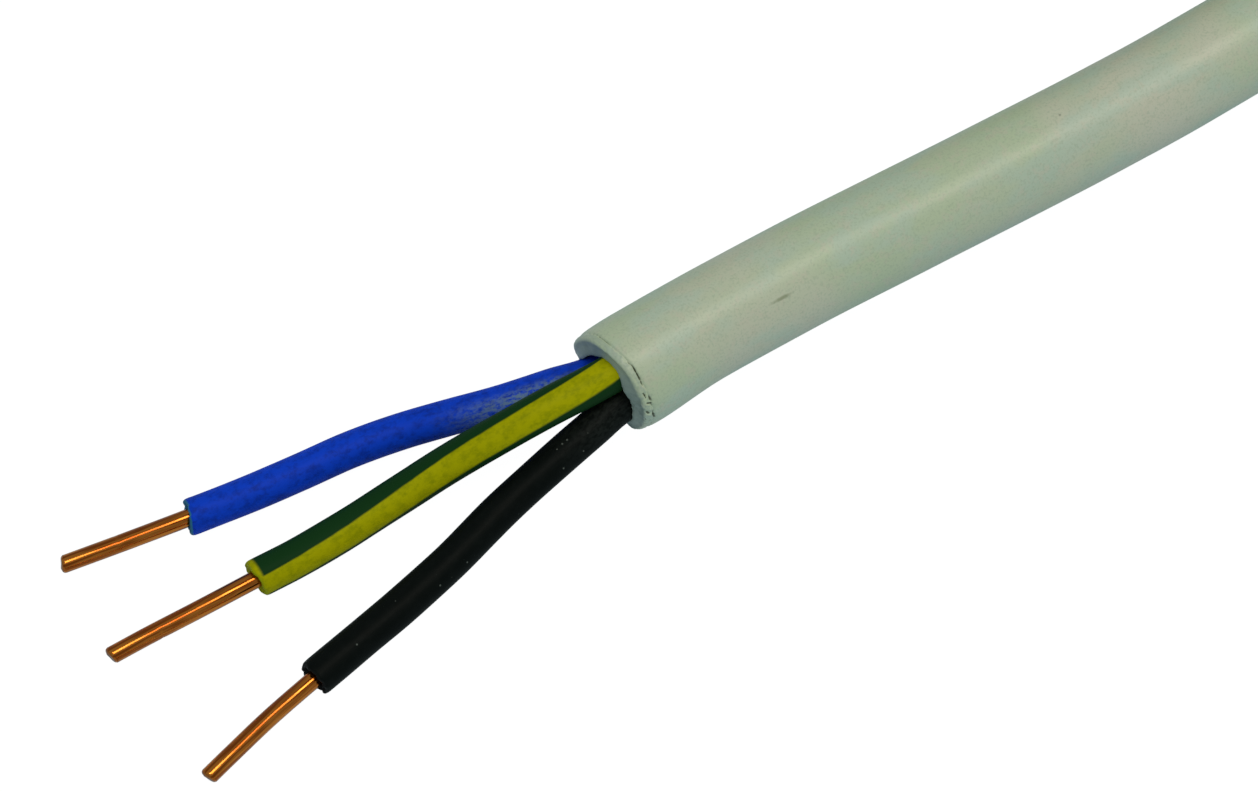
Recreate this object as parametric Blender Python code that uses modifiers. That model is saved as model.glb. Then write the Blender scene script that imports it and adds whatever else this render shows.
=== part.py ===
"""Ten metres of three-core sheathed installation cable, 3 x 1.5 mm2, with one end stripped.

Most of the length is wound into a neat coil that lies on the floor, held by three cable ties.
The stripped end leaves the coil's outermost bottom turn and lies in front of it: the sheath is
cut back, three insulated cores fan out of its mouth, and each core shows its bare copper wire.
Units are metres, +Z is up, and the floor is z = 0.
"""

import math

import bmesh
import bpy
from mathutils import Vector

# Cable sizes
CABLE_LENGTH = 10.0
SHEATH_DIAMETER = 0.0086
CORE_DIAMETER = 0.00295
COPPER_DIAMETER = 0.00138

# Clearances between neighbours
SEAT_GAP = 0.0003
CORE_CLEARANCE = 0.00015

# Stripped end
MOUTH_DEPTH = 0.0075
SOCKET_DEPTH = 0.003
BARE_LENGTH = {"blue": 0.0104, "green_yellow": 0.0129, "black": 0.0112}

# Coil
TURN_PITCH = 0.0087
ROW_TURNS = (6, 5, 6, 5)
GROOVE_ANGLE = math.radians(35)
ARC_SEGMENT = math.radians(50)
COIL_STEPS = 56
JOIN_ANGLE = math.radians(-30)
JOIN_STOP = 0.028

# Cable ties
TIE_THICKNESS = 0.0012
TIE_WIDTH = 0.0048
TIE_ARC_SEGMENT = math.radians(20)
TIE_ANGLES = (math.radians(30), math.radians(150), math.radians(270))
HEAD_RADIAL = 0.0050
HEAD_WIDTH = 0.0076
HEAD_HEIGHT = 0.0080
HEAD_BEVEL = 0.0006

# Meshing
WELD_DISTANCE = 1e-7
SHARP_ANGLE = math.radians(35)
CURVE_SAMPLES = 24
CUT_OVERRUN = 0.0012
SHEATH_STEP = 0.0045
CORE_STEP = 0.0022
COPPER_STEP = 0.0020
SHEATH_BEVEL_RESOLUTION = 4
CORE_BEVEL_RESOLUTION = 2
COPPER_BEVEL_RESOLUTION = 2

# The sheath's free stretch, from its mouth to the coil, measured from the point where it joins
SHEATH_ROUTE = (
    (-0.1183, -0.1048, 0.0043),
    (-0.1161, -0.1032, 0.0043),
    (-0.1116, -0.1000, 0.0043),
    (-0.1038, -0.0951, 0.0043),
    (-0.0958, -0.0904, 0.0043),
    (-0.0878, -0.0857, 0.0043),
    (-0.0796, -0.0808, 0.0043),
    (-0.0722, -0.0761, 0.0043),
    (-0.0600, -0.0675, 0.00435),
    (-0.0455, -0.0552, 0.0046),
    (-0.0320, -0.0417, 0.0052),
    (-0.0198, -0.0274, 0.0057),
    (-0.0092, -0.0134, 0.0058),
    (0.0000, 0.0000, 0.0058),
)

# The cores, from inside the mouth to the copper tip, measured from the same point
CORE_ROUTES = {
    "blue": (
        (-0.1132, -0.0990, 0.0036),
        (-0.1192, -0.1034, 0.0036),
        (-0.1233, -0.10467, 0.0031),
        (-0.1271, -0.10582, 0.0026),
        (-0.1310, -0.10676, 0.0021),
        (-0.1349, -0.10777, 0.0016),
        (-0.1387, -0.10931, 0.0015),
        (-0.1425, -0.11129, 0.0015),
        (-0.1463, -0.11321, 0.0015),
        (-0.1505, -0.11511, 0.0015),
        (-0.1556, -0.11735, 0.0015),
        (-0.1604, -0.1194, 0.0015),
    ),
    "green_yellow": (
        (-0.1121, -0.1006, 0.0061),
        (-0.1182, -0.1050, 0.0061),
        (-0.1232, -0.10797, 0.0059),
        (-0.1270, -0.10982, 0.0049),
        (-0.1309, -0.11161, 0.0035),
        (-0.1347, -0.11373, 0.0023),
        (-0.1386, -0.11623, 0.0016),
        (-0.1422, -0.1186, 0.0015),
        (-0.1454, -0.12053, 0.0015),
        (-0.1497, -0.12316, 0.0015),
        (-0.1534, -0.12538, 0.0015),
        (-0.1563, -0.1272, 0.0015),
    ),
    "black": (
        (-0.1114, -0.1015, 0.0032),
        (-0.1174, -0.1059, 0.0032),
        (-0.1201, -0.1083, 0.0028),
        (-0.1232, -0.1111, 0.0022),
        (-0.1270, -0.11475, 0.0016),
        (-0.1308, -0.11913, 0.0015),
        (-0.1345, -0.12298, 0.0015),
        (-0.1383, -0.12666, 0.0015),
        (-0.1411, -0.12938, 0.0015),
        (-0.1441, -0.1324, 0.0015),
        (-0.1468, -0.13538, 0.0015),
        (-0.1485, -0.1373, 0.0015),
    ),
}

# Sizes that follow from the ones above
SHEATH_RADIUS = SHEATH_DIAMETER / 2
CORE_RADIUS = CORE_DIAMETER / 2
COPPER_RADIUS = COPPER_DIAMETER / 2
CORE_RING_RADIUS = (CORE_DIAMETER + CORE_CLEARANCE) / math.sqrt(3)
BORE_RADIUS = CORE_RING_RADIUS + CORE_RADIUS + CORE_CLEARANCE
ROW_RISE = TURN_PITCH * math.sqrt(3) / 2
LIFT = TIE_THICKNESS + SEAT_GAP

# Colours: base colour, roughness, metallic
FINISHES = {
    "grey_sheath": ((0.36, 0.41, 0.31), 0.45, 0.0),
    "blue_insulation": ((0.02, 0.13, 0.42), 0.5, 0.0),
    "green_yellow_insulation": ((0.72, 0.66, 0.05), 0.45, 0.0),
    "black_insulation": ((0.012, 0.012, 0.014), 0.4, 0.0),
    "copper": ((0.72, 0.36, 0.20), 0.3, 1.0),
    "black_nylon": ((0.015, 0.015, 0.015), 0.4, 0.0),
}


def clear_scene():
    """Remove every object of the scene."""
    for thing in list(bpy.data.objects):
        bpy.data.objects.remove(thing, do_unlink=True)


def make_collection(name):
    """Make a collection and link it to the scene."""
    made = bpy.data.collections.new(name)
    bpy.context.scene.collection.children.link(made)
    return made


def make_material(name):
    """Make a Principled material from the table of finishes."""
    colour, roughness, metallic = FINISHES[name]
    made = bpy.data.materials.new(name)
    made.use_nodes = True
    shader = made.node_tree.nodes["Principled BSDF"]
    shader.inputs["Base Color"].default_value = (*colour, 1.0)
    shader.inputs["Roughness"].default_value = roughness
    shader.inputs["Metallic"].default_value = metallic
    return made


def smooth_curve(points):
    """Return a dense smooth line through the points, as a Catmull-Rom spline."""
    knots = [Vector(point) for point in points]
    knots = [2 * knots[0] - knots[1], *knots, 2 * knots[-1] - knots[-2]]
    line = []
    for first, second, third, fourth in zip(knots, knots[1:], knots[2:], knots[3:]):
        for index in range(CURVE_SAMPLES):
            t = index / CURVE_SAMPLES
            line.append(
                0.5
                * (
                    2 * second
                    + (third - first) * t
                    + (2 * first - 5 * second + 4 * third - fourth) * t * t
                    + (3 * second - first - 3 * third + fourth) * t * t * t
                )
            )
    line.append(knots[-2].copy())
    return line


def line_length(line):
    """Return the length of a line of points."""
    return sum((b - a).length for a, b in zip(line, line[1:]))


def point_along(line, distance):
    """Return the point at a distance along the line, which runs on straight past its ends."""
    walked = 0.0
    for a, b in zip(line, line[1:]):
        step = (b - a).length
        if distance < walked + step or b is line[-1]:
            return a + (b - a).normalized() * (distance - walked)
        walked += step
    return line[-1]


def stretch(line, start, stop, step):
    """Return evenly spaced points of the line from start to stop."""
    count = max(2, math.ceil((stop - start) / step))
    return [point_along(line, start + (stop - start) * i / count) for i in range(count + 1)]


def add_tube(name, points, radius, resolution, collection):
    """Make a tube with filled caps along the points, as a mesh whose caps are welded."""
    data = bpy.data.curves.new(name, "CURVE")
    data.dimensions = "3D"
    data.bevel_depth = radius
    data.bevel_resolution = resolution
    data.use_fill_caps = True
    spline = data.splines.new("POLY")
    spline.points.add(len(points) - 1)
    for slot, point in zip(spline.points, points):
        slot.co = (*point, 1.0)
    curve = bpy.data.objects.new(name, data)
    return mesh_from_curve(curve, name, collection)


def mesh_from_curve(curve, name, collection):
    """Replace a curve object by a mesh object of the same form, with its caps welded."""
    bpy.context.scene.collection.objects.link(curve)
    curve.name = name + "_curve"
    depsgraph = bpy.context.evaluated_depsgraph_get()
    mesh = bpy.data.meshes.new_from_object(curve.evaluated_get(depsgraph))
    bm = bmesh.new()
    bm.from_mesh(mesh)
    bmesh.ops.remove_doubles(bm, verts=bm.verts, dist=WELD_DISTANCE)
    bmesh.ops.recalc_face_normals(bm, faces=bm.faces)
    bm.to_mesh(mesh)
    bm.free()
    mesh.name = name
    made = bpy.data.objects.new(name, mesh)
    made.matrix_world = curve.matrix_world
    collection.objects.link(made)
    bpy.data.objects.remove(curve, do_unlink=True)
    return made


def boolean(target, other, operation, name):
    """Add an exact Boolean with another object, which becomes a hidden guide."""
    modifier = target.modifiers.new(name, "BOOLEAN")
    modifier.operation = operation
    modifier.object = other
    other.hide_render = True
    other.display_type = "WIRE"


def finish(made, material, parent):
    """Give a finished piece its material, smooth shading and parent."""
    made.data.materials.clear()
    made.data.materials.append(material)
    made.data.shade_smooth()
    made.data.set_sharp_from_angle(angle=SHARP_ANGLE)
    made.parent = parent


def row_offset(row):
    """Return how far a row of turns is shifted outwards: every second row lies in the valleys."""
    return 0.5 * TURN_PITCH * (row % 2)


def turn_radii_sum():
    """Return the sum of all turn offsets from the innermost turn."""
    return sum(
        row_offset(row) + turn * TURN_PITCH
        for row, turns in enumerate(ROW_TURNS)
        for turn in range(turns)
    )


def inner_turn_radius():
    """Return the radius of the innermost turn, from the length that the coil takes up."""
    free = line_length(smooth_curve(SHEATH_ROUTE))
    wound = (CABLE_LENGTH - free) / (2 * math.pi)
    return (wound - turn_radii_sum()) / sum(ROW_TURNS)


def turn_centre(row, turn):
    """Return the radius and height of a turn's centre."""
    radius = inner_turn_radius() + row_offset(row) + turn * TURN_PITCH
    return Vector((radius, LIFT + SHEATH_RADIUS + row * ROW_RISE))


def outline_turns():
    """Return the centres of the turns on the section's outline, anticlockwise from the bottom."""
    rows = range(len(ROW_TURNS))
    bottom = [turn_centre(0, turn) for turn in range(ROW_TURNS[0])]
    outer = [turn_centre(row, ROW_TURNS[row] - 1) for row in rows[1:-1]]
    top = [turn_centre(rows[-1], turn) for turn in reversed(range(ROW_TURNS[-1]))]
    inner = [turn_centre(row, 0) for row in reversed(rows[1:-1])]
    return bottom + outer + top + inner


def grooved_profile(radius):
    """Return the section's outline: an arc for each outer turn, with a groove between turns."""
    centres = outline_turns()
    points = []
    for index, centre in enumerate(centres):
        before = centres[index - 1] - centre
        after = centres[(index + 1) % len(centres)] - centre
        start = math.atan2(before.y, before.x)
        span = (math.atan2(after.y, after.x) - start) % (2 * math.pi)
        start += GROOVE_ANGLE
        span -= 2 * GROOVE_ANGLE
        segments = max(2, round(span / ARC_SEGMENT))
        for step in range(segments + 1):
            angle = start + span * step / segments
            points.append(centre + radius * Vector((math.cos(angle), math.sin(angle))))
    return points


def hull_profile(radius):
    """Return the outline of a strap pulled round the section, at a distance from turn centres."""
    rows = len(ROW_TURNS)
    last = rows - 1
    corners = [
        turn_centre(0, 0),
        turn_centre(0, ROW_TURNS[0] - 1),
        turn_centre(last - 1, ROW_TURNS[last - 1] - 1),
        turn_centre(last, ROW_TURNS[last] - 1),
        turn_centre(last, 0),
        turn_centre(last - 1, 0),
    ]
    points = []
    for index, centre in enumerate(corners):
        arriving = centre - corners[index - 1]
        leaving = corners[(index + 1) % len(corners)] - centre
        start = math.atan2(-arriving.x, arriving.y)
        span = (math.atan2(-leaving.x, leaving.y) - start) % (2 * math.pi)
        segments = max(1, round(span / TIE_ARC_SEGMENT))
        for step in range(segments + 1):
            angle = start + span * step / segments
            points.append(centre + radius * Vector((math.cos(angle), math.sin(angle))))
    return points


def add_ring(name, radius, collection):
    """Make the coil's turned body from the grooved profile, with a Screw modifier."""
    profile = list(reversed(grooved_profile(radius)))
    bm = bmesh.new()
    verts = [bm.verts.new((point.x, 0.0, point.y)) for point in profile]
    for a, b in zip(verts, verts[1:] + verts[:1]):
        bm.edges.new((a, b))
    mesh = bpy.data.meshes.new(name)
    bm.to_mesh(mesh)
    bm.free()
    made = bpy.data.objects.new(name, mesh)
    collection.objects.link(made)
    screw = made.modifiers.new("turn", "SCREW")
    screw.axis = "Z"
    screw.angle = 2 * math.pi
    screw.steps = COIL_STEPS
    screw.render_steps = COIL_STEPS
    screw.use_merge_vertices = True
    screw.merge_threshold = WELD_DISTANCE
    return made


def add_tie(name, angle, parts, cutters):
    """Make one cable tie: a flat strap round the section and its square locking head."""
    data = bpy.data.curves.new(name, "CURVE")
    data.dimensions = "2D"
    data.fill_mode = "BOTH"
    data.extrude = TIE_WIDTH / 2
    for reach in (SEAT_GAP + TIE_THICKNESS, SEAT_GAP):
        outline = hull_profile(SHEATH_RADIUS + reach)
        spline = data.splines.new("POLY")
        spline.points.add(len(outline) - 1)
        spline.use_cyclic_u = True
        for slot, point in zip(spline.points, outline):
            slot.co = (point.x, point.y, 0.0, 1.0)
    tie = mesh_from_curve(bpy.data.objects.new(name, data), name, parts)
    tie.rotation_euler = (math.pi / 2, 0, angle)

    side_low = turn_centre(0, ROW_TURNS[0] - 1)
    side_high = turn_centre(2, ROW_TURNS[2] - 1)
    strap_middle = side_low.x + SHEATH_RADIUS + SEAT_GAP + TIE_THICKNESS / 2
    bm = bmesh.new()
    bmesh.ops.create_cube(bm, size=1.0)
    bmesh.ops.scale(bm, vec=(HEAD_RADIAL, HEAD_HEIGHT, HEAD_WIDTH), verts=bm.verts)
    place = (strap_middle + HEAD_RADIAL / 2, (side_low.y + side_high.y) / 2, 0.0)
    bmesh.ops.translate(bm, vec=place, verts=bm.verts)
    bmesh.ops.bevel(bm, geom=bm.edges[:], offset=HEAD_BEVEL, segments=1, affect="EDGES")
    mesh = bpy.data.meshes.new(name + "_head")
    bm.to_mesh(mesh)
    bm.free()
    head = bpy.data.objects.new(name + "_head", mesh)
    head.rotation_euler = tie.rotation_euler
    cutters.objects.link(head)
    boolean(tie, head, "UNION", "head")
    return tie, head


def add_sheath(join, coil_envelope, parts, cutters):
    """Make the free stretch of sheath, open at its mouth and fitted to the coil's side."""
    line = [join + point for point in smooth_curve(SHEATH_ROUTE)]
    points = stretch(line, 0.0, line_length(line) - JOIN_STOP, SHEATH_STEP)
    sheath = add_tube("sheath", points, SHEATH_RADIUS, SHEATH_BEVEL_RESOLUTION, parts)
    bore_points = stretch(line, -CUT_OVERRUN, MOUTH_DEPTH + SEAT_GAP, CORE_STEP)
    bore = add_tube("mouth_bore", bore_points, BORE_RADIUS, SHEATH_BEVEL_RESOLUTION, cutters)
    boolean(sheath, bore, "DIFFERENCE", "mouth")
    boolean(sheath, coil_envelope, "DIFFERENCE", "coil_side")
    return sheath, bore


def add_core(colour, join, parts, cutters):
    """Make one core: its insulation with a socket in its cut end, and the bare wire in it."""
    line = [join + point for point in smooth_curve(CORE_ROUTES[colour])]
    whole = line_length(line)
    cut = whole - BARE_LENGTH[colour]
    insulation = add_tube(
        colour + "_insulation",
        stretch(line, 0.0, cut, CORE_STEP),
        CORE_RADIUS,
        CORE_BEVEL_RESOLUTION,
        parts,
    )
    socket = add_tube(
        colour + "_socket",
        stretch(line, cut - SOCKET_DEPTH - SEAT_GAP, cut + CUT_OVERRUN, COPPER_STEP),
        COPPER_RADIUS + CORE_CLEARANCE,
        COPPER_BEVEL_RESOLUTION,
        cutters,
    )
    boolean(insulation, socket, "DIFFERENCE", "socket")
    wire = add_tube(
        colour + "_conductor",
        stretch(line, cut - SOCKET_DEPTH, whole, COPPER_STEP),
        COPPER_RADIUS,
        COPPER_BEVEL_RESOLUTION,
        parts,
    )
    return insulation, socket, wire


def centre_on_floor(base, pieces):
    """Move the whole part so that the middle of its box stands over the origin."""
    bpy.context.view_layer.update()
    depsgraph = bpy.context.evaluated_depsgraph_get()
    corners = []
    for piece in pieces:
        seen = piece.evaluated_get(depsgraph)
        corners += [piece.matrix_world @ vertex.co for vertex in seen.data.vertices]
    for axis in range(2):
        low = min(corner[axis] for corner in corners)
        high = max(corner[axis] for corner in corners)
        base.location[axis] = -(low + high) / 2


def main():
    """Build the cable."""
    clear_scene()
    parts = make_collection("installation_cable")
    cutters = make_collection("cutters")
    base = bpy.data.objects.new("cable_base", None)
    parts.objects.link(base)
    materials = {name: make_material(name) for name in FINISHES}

    coil = add_ring("coil", SHEATH_RADIUS, parts)
    envelope = add_ring("coil_envelope", SHEATH_RADIUS + SEAT_GAP, cutters)
    outer_turn = turn_centre(0, ROW_TURNS[0] - 1).x
    join = Vector((math.cos(JOIN_ANGLE), math.sin(JOIN_ANGLE), 0.0)) * outer_turn
    sheath, bore = add_sheath(join, envelope, parts, cutters)
    guides = [envelope, bore]
    pieces = [coil, sheath]
    finish(coil, materials["grey_sheath"], base)
    finish(sheath, materials["grey_sheath"], base)

    for colour in CORE_ROUTES:
        insulation, socket, wire = add_core(colour, join, parts, cutters)
        finish(insulation, materials[colour + "_insulation"], base)
        finish(wire, materials["copper"], base)
        guides.append(socket)
        pieces += [insulation, wire]

    for number, angle in enumerate(TIE_ANGLES, start=1):
        tie, head = add_tie(f"cable_tie_{number}", angle, parts, cutters)
        finish(tie, materials["black_nylon"], base)
        guides.append(head)
        pieces.append(tie)

    for guide in guides:
        guide.parent = base
    centre_on_floor(base, pieces)


main()
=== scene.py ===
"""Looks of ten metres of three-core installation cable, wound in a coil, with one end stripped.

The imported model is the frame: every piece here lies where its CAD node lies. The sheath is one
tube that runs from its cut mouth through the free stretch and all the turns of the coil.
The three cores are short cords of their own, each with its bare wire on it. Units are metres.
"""

import bisect
import logging
import math
from dataclasses import dataclass, field
from enum import Enum
from typing import Callable, NamedTuple, Optional, Sequence, Union

import bmesh
import bpy
from mathutils import Matrix, Vector, noise


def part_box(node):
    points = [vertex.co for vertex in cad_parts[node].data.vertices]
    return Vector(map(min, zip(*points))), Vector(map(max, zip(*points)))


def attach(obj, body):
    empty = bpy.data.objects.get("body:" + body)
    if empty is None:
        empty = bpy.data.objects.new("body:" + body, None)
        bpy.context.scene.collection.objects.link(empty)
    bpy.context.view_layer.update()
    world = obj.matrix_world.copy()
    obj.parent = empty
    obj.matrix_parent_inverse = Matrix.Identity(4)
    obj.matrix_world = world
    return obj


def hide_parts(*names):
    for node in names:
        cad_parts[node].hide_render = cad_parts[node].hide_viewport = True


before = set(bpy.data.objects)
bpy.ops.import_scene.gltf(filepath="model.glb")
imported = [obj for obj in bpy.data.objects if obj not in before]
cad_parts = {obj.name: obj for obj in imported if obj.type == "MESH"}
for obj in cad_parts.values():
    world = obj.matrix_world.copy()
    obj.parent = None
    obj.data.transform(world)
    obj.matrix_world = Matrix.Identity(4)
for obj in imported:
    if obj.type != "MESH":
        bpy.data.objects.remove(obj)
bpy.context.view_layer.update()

LOG = logging.getLogger("installation_cable")
BODY = "root"
MM = 0.001
UP = Vector((0.0, 0.0, 1.0))
FEELER = 0.0004
CURVE_SAMPLES = 24
PATH_STEP = 4.0 * MM
TIE_ANGLES = (30.0, 150.0, 270.0)

Socket = bpy.types.NodeSocket
Value = Union[float, Socket]
Triple = tuple[float, float, float]


class Core(Enum):
    """The three cores by the colour of their insulation, which begins their CAD nodes' names."""

    BLUE = "blue"
    GREEN_YELLOW = "green_yellow"
    BLACK = "black"


class Slot(Enum):
    """The record's material slots."""

    SHEATH = "sheath"
    BLUE = "blue_insulation"
    GREEN_YELLOW = "green_yellow_insulation"
    BLACK = "black_insulation"
    COPPER = "copper"
    TIE = "tie"


def smoothstep(value: float) -> float:
    """Return 0 below 0, 1 above 1, and an even S curve between them."""
    value = min(max(value, 0.0), 1.0)
    return value * value * (3.0 - 2.0 * value)


def near_angle(angle: float, centre: float, reach: float) -> float:
    """Return 1 at an angle in degrees and a smooth fall to 0 away from it.

    Args:
        angle: The angle in radians.
        centre: The middle of the bump in degrees.
        reach: How far in degrees the bump reaches, to about a third of its height.

    Returns:
        The height of the bump there.
    """
    away = (math.degrees(angle) - centre + 180.0) % 360.0 - 180.0
    return math.exp(-((away / reach) ** 2))


def spaced(start: float, stop: float, step: float) -> list[float]:
    """Return evenly spaced values from start to stop, both included.

    Args:
        start: The first value.
        stop: The last value.
        step: The widest distance between two values.

    Returns:
        The values in order.
    """
    count = max(1, math.ceil(abs(stop - start) / step))
    return [start + (stop - start) * index / count for index in range(count + 1)]


def smooth_curve(knots: Sequence[Vector]) -> list[Vector]:
    """Return a dense smooth line through the knots, as a Catmull-Rom spline.

    Args:
        knots: The points that the line runs through.

    Returns:
        The points of the line.
    """
    ends = [2 * knots[0] - knots[1], *knots, 2 * knots[-1] - knots[-2]]
    line = []
    for first, second, third, fourth in zip(ends, ends[1:], ends[2:], ends[3:]):
        for index in range(CURVE_SAMPLES):
            t = index / CURVE_SAMPLES
            bend = 2 * first - 5 * second + 4 * third - fourth
            twist = 3 * second - first - 3 * third + fourth
            line.append(0.5 * (2 * second + (third - first) * t + bend * t * t + twist * t**3))
    line.append(knots[-1].copy())
    return line


class Line:
    """A line of points that is read by the distance along it."""

    def __init__(self, points: Sequence[Vector]) -> None:
        """Keep the points and how far along the line each of them is.

        Args:
            points: The points of the line, no two neighbours in one place.
        """
        self.points = list(points)
        self.reach = [0.0]
        for near, far in zip(self.points, self.points[1:]):
            self.reach.append(self.reach[-1] + (far - near).length)

    @property
    def length(self) -> float:
        """The whole length of the line."""
        return self.reach[-1]

    def at(self, distance: float) -> Vector:
        """Return the point at a distance along the line, which runs on straight past its ends."""
        index = bisect.bisect_right(self.reach, distance) - 1
        index = min(max(index, 0), len(self.points) - 2)
        near, far = self.points[index], self.points[index + 1]
        part = (distance - self.reach[index]) / (self.reach[index + 1] - self.reach[index])
        return near + (far - near) * part

    def axes(self, distance: float) -> tuple[Vector, Vector, Vector]:
        """Return the point at a distance, the level side direction there and the upward one."""
        ahead = (self.at(distance + FEELER) - self.at(distance - FEELER)).normalized()
        side = ahead.cross(UP).normalized()
        return self.at(distance), side, side.cross(ahead)

    def places(self, start: float, stop: float, step: float) -> list[Vector]:
        """Return evenly spaced points of the line from start to stop."""
        return [self.at(distance) for distance in spaced(start, stop, step)]


@dataclass
class Ring:
    """One ring of a tube.

    Attributes:
        along: Its place along the line.
        radius: Its radius.
        cut: 1 where a knife has cut the surface, and below 0 where a crease gets painted shade.
        follow: How much of the cut's slant and wear the ring takes up.
        cone: How much of the cut face's cone the ring takes up.
        part: Where it lies in the sheath's mouth, from 0 at the lip to 1 at the outer corner.
    """

    along: float
    radius: float
    cut: float = 0.0
    follow: float = 0.0
    cone: float = 0.0
    part: Optional[float] = None


@dataclass
class Zone:
    """A run of rings with the same number of sides."""

    sides: int
    rings: list[Ring]


class Skin(NamedTuple):
    """Where a vertex of a tube lies: its radius, its place along the line, and its cut value."""

    radius: float
    along: float
    cut: float


Shape = Callable[[Ring, float], Skin]


class Sweep:
    """A tube that follows a line: a grid rolled up for each zone, with bridges between the zones.

    Each vertex carries two attributes for the materials. "lay" is its place on the straightened
    tube, with Z along it, and "cut" is 1 where a knife has cut it and below 0 in a crack. The
    sheath's material paints shade by "cut", on the cut face and, darker, in the cracks.
    """

    def __init__(self, line: Line, shape: Optional[Shape] = None) -> None:
        """Start an empty tube.

        Args:
            line: The line that the tube follows.
            shape: Gives a vertex's place in the skin, from its ring and its angle in radians.
        """
        self.line = line
        self.shape = shape or (lambda ring, angle: Skin(ring.radius, ring.along, ring.cut))
        self.bm = bmesh.new()
        self.lay = self.bm.verts.layers.float_vector.new("lay")
        self.cut = self.bm.verts.layers.float.new("cut")

    def place(self, verts: Sequence[bmesh.types.BMVert], ring: Ring) -> None:
        """Put the vertices of one ring where they belong.

        Args:
            verts: The ring's vertices in order round it.
            ring: The ring's place and size.
        """
        level = self.line.axes(ring.along)
        for number, vert in enumerate(verts):
            angle = 2 * math.pi * number / len(verts)
            skin = self.shape(ring, angle)
            centre, side, up = level if skin.along == ring.along else self.line.axes(skin.along)
            across = skin.radius * math.cos(angle)
            above = skin.radius * math.sin(angle)
            vert.co = centre + side * across + up * above
            vert[self.lay] = Vector((across, above, skin.along))
            vert[self.cut] = skin.cut

    def add(self, zones: Sequence[Zone]) -> "Sweep":
        """Model the zones one after the other, with a cap at the first and the last ring.

        Args:
            zones: The runs of rings in order.

        Returns:
            This tube.
        """
        open_edges: list[bmesh.types.BMEdge] = []
        for zone in zones:
            grid = bmesh.ops.create_grid(
                self.bm, x_segments=zone.sides, y_segments=len(zone.rings) - 1, size=1.0
            )["verts"]
            row = zone.sides + 1
            rows = [grid[start : start + row] for start in range(0, len(grid), row)]
            for verts, ring in zip(rows, zone.rings):
                self.place(verts[:-1], ring)
            seam = {verts[-1]: verts[0] for verts in rows}
            bmesh.ops.weld_verts(self.bm, targetmap=seam)
            first, last = self.loop(rows[0]), self.loop(rows[-1])
            if open_edges:
                bmesh.ops.bridge_loops(self.bm, edges=open_edges + first)
            open_edges = last
        ends = [edge for edge in self.bm.edges if edge.is_boundary]
        bmesh.ops.holes_fill(self.bm, edges=ends, sides=0)
        return self

    def loop(self, verts: Sequence[bmesh.types.BMVert]) -> list[bmesh.types.BMEdge]:
        """Return the open edges that join the vertices of one ring."""
        return list({edge for vert in verts[:-1] for edge in vert.link_edges if edge.is_boundary})

    def finish(self, name: str, sharp: float = 60.0) -> bpy.types.Object:
        """Turn the tube into an object.

        Args:
            name: The object's name.
            sharp: The angle in degrees past which an edge is shaded sharp.

        Returns:
            The finished object, at the origin.
        """
        bmesh.ops.recalc_face_normals(self.bm, faces=self.bm.faces)
        return finish_mesh(self.bm, name, sharp)


def finish_mesh(bm: bmesh.types.BMesh, name: str, sharp: float) -> bpy.types.Object:
    """Write a bmesh to a new smooth-shaded object and free it.

    Args:
        bm: The finished bmesh, in its place.
        name: The object's name.
        sharp: The angle in degrees past which an edge is shaded sharp.

    Returns:
        The new object.
    """
    mesh = bpy.data.meshes.new(name)
    bm.to_mesh(mesh)
    bm.free()
    mesh.shade_smooth()
    mesh.set_sharp_from_angle(angle=math.radians(sharp))
    made = bpy.data.objects.new(name, mesh)
    bpy.context.scene.collection.objects.link(made)
    return made


def dress(piece: bpy.types.Object, material: bpy.types.Material) -> bpy.types.Object:
    """Give a piece its material and its body.

    Args:
        piece: The piece, in its place.
        material: The finish that it gets.

    Returns:
        The same piece.
    """
    piece.data.materials.clear()
    piece.data.materials.append(material)
    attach(piece, BODY)
    triangles = sum(len(face.vertices) - 2 for face in piece.data.polygons)
    LOG.info("%s: %d triangles", piece.name, triangles)
    return piece


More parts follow.
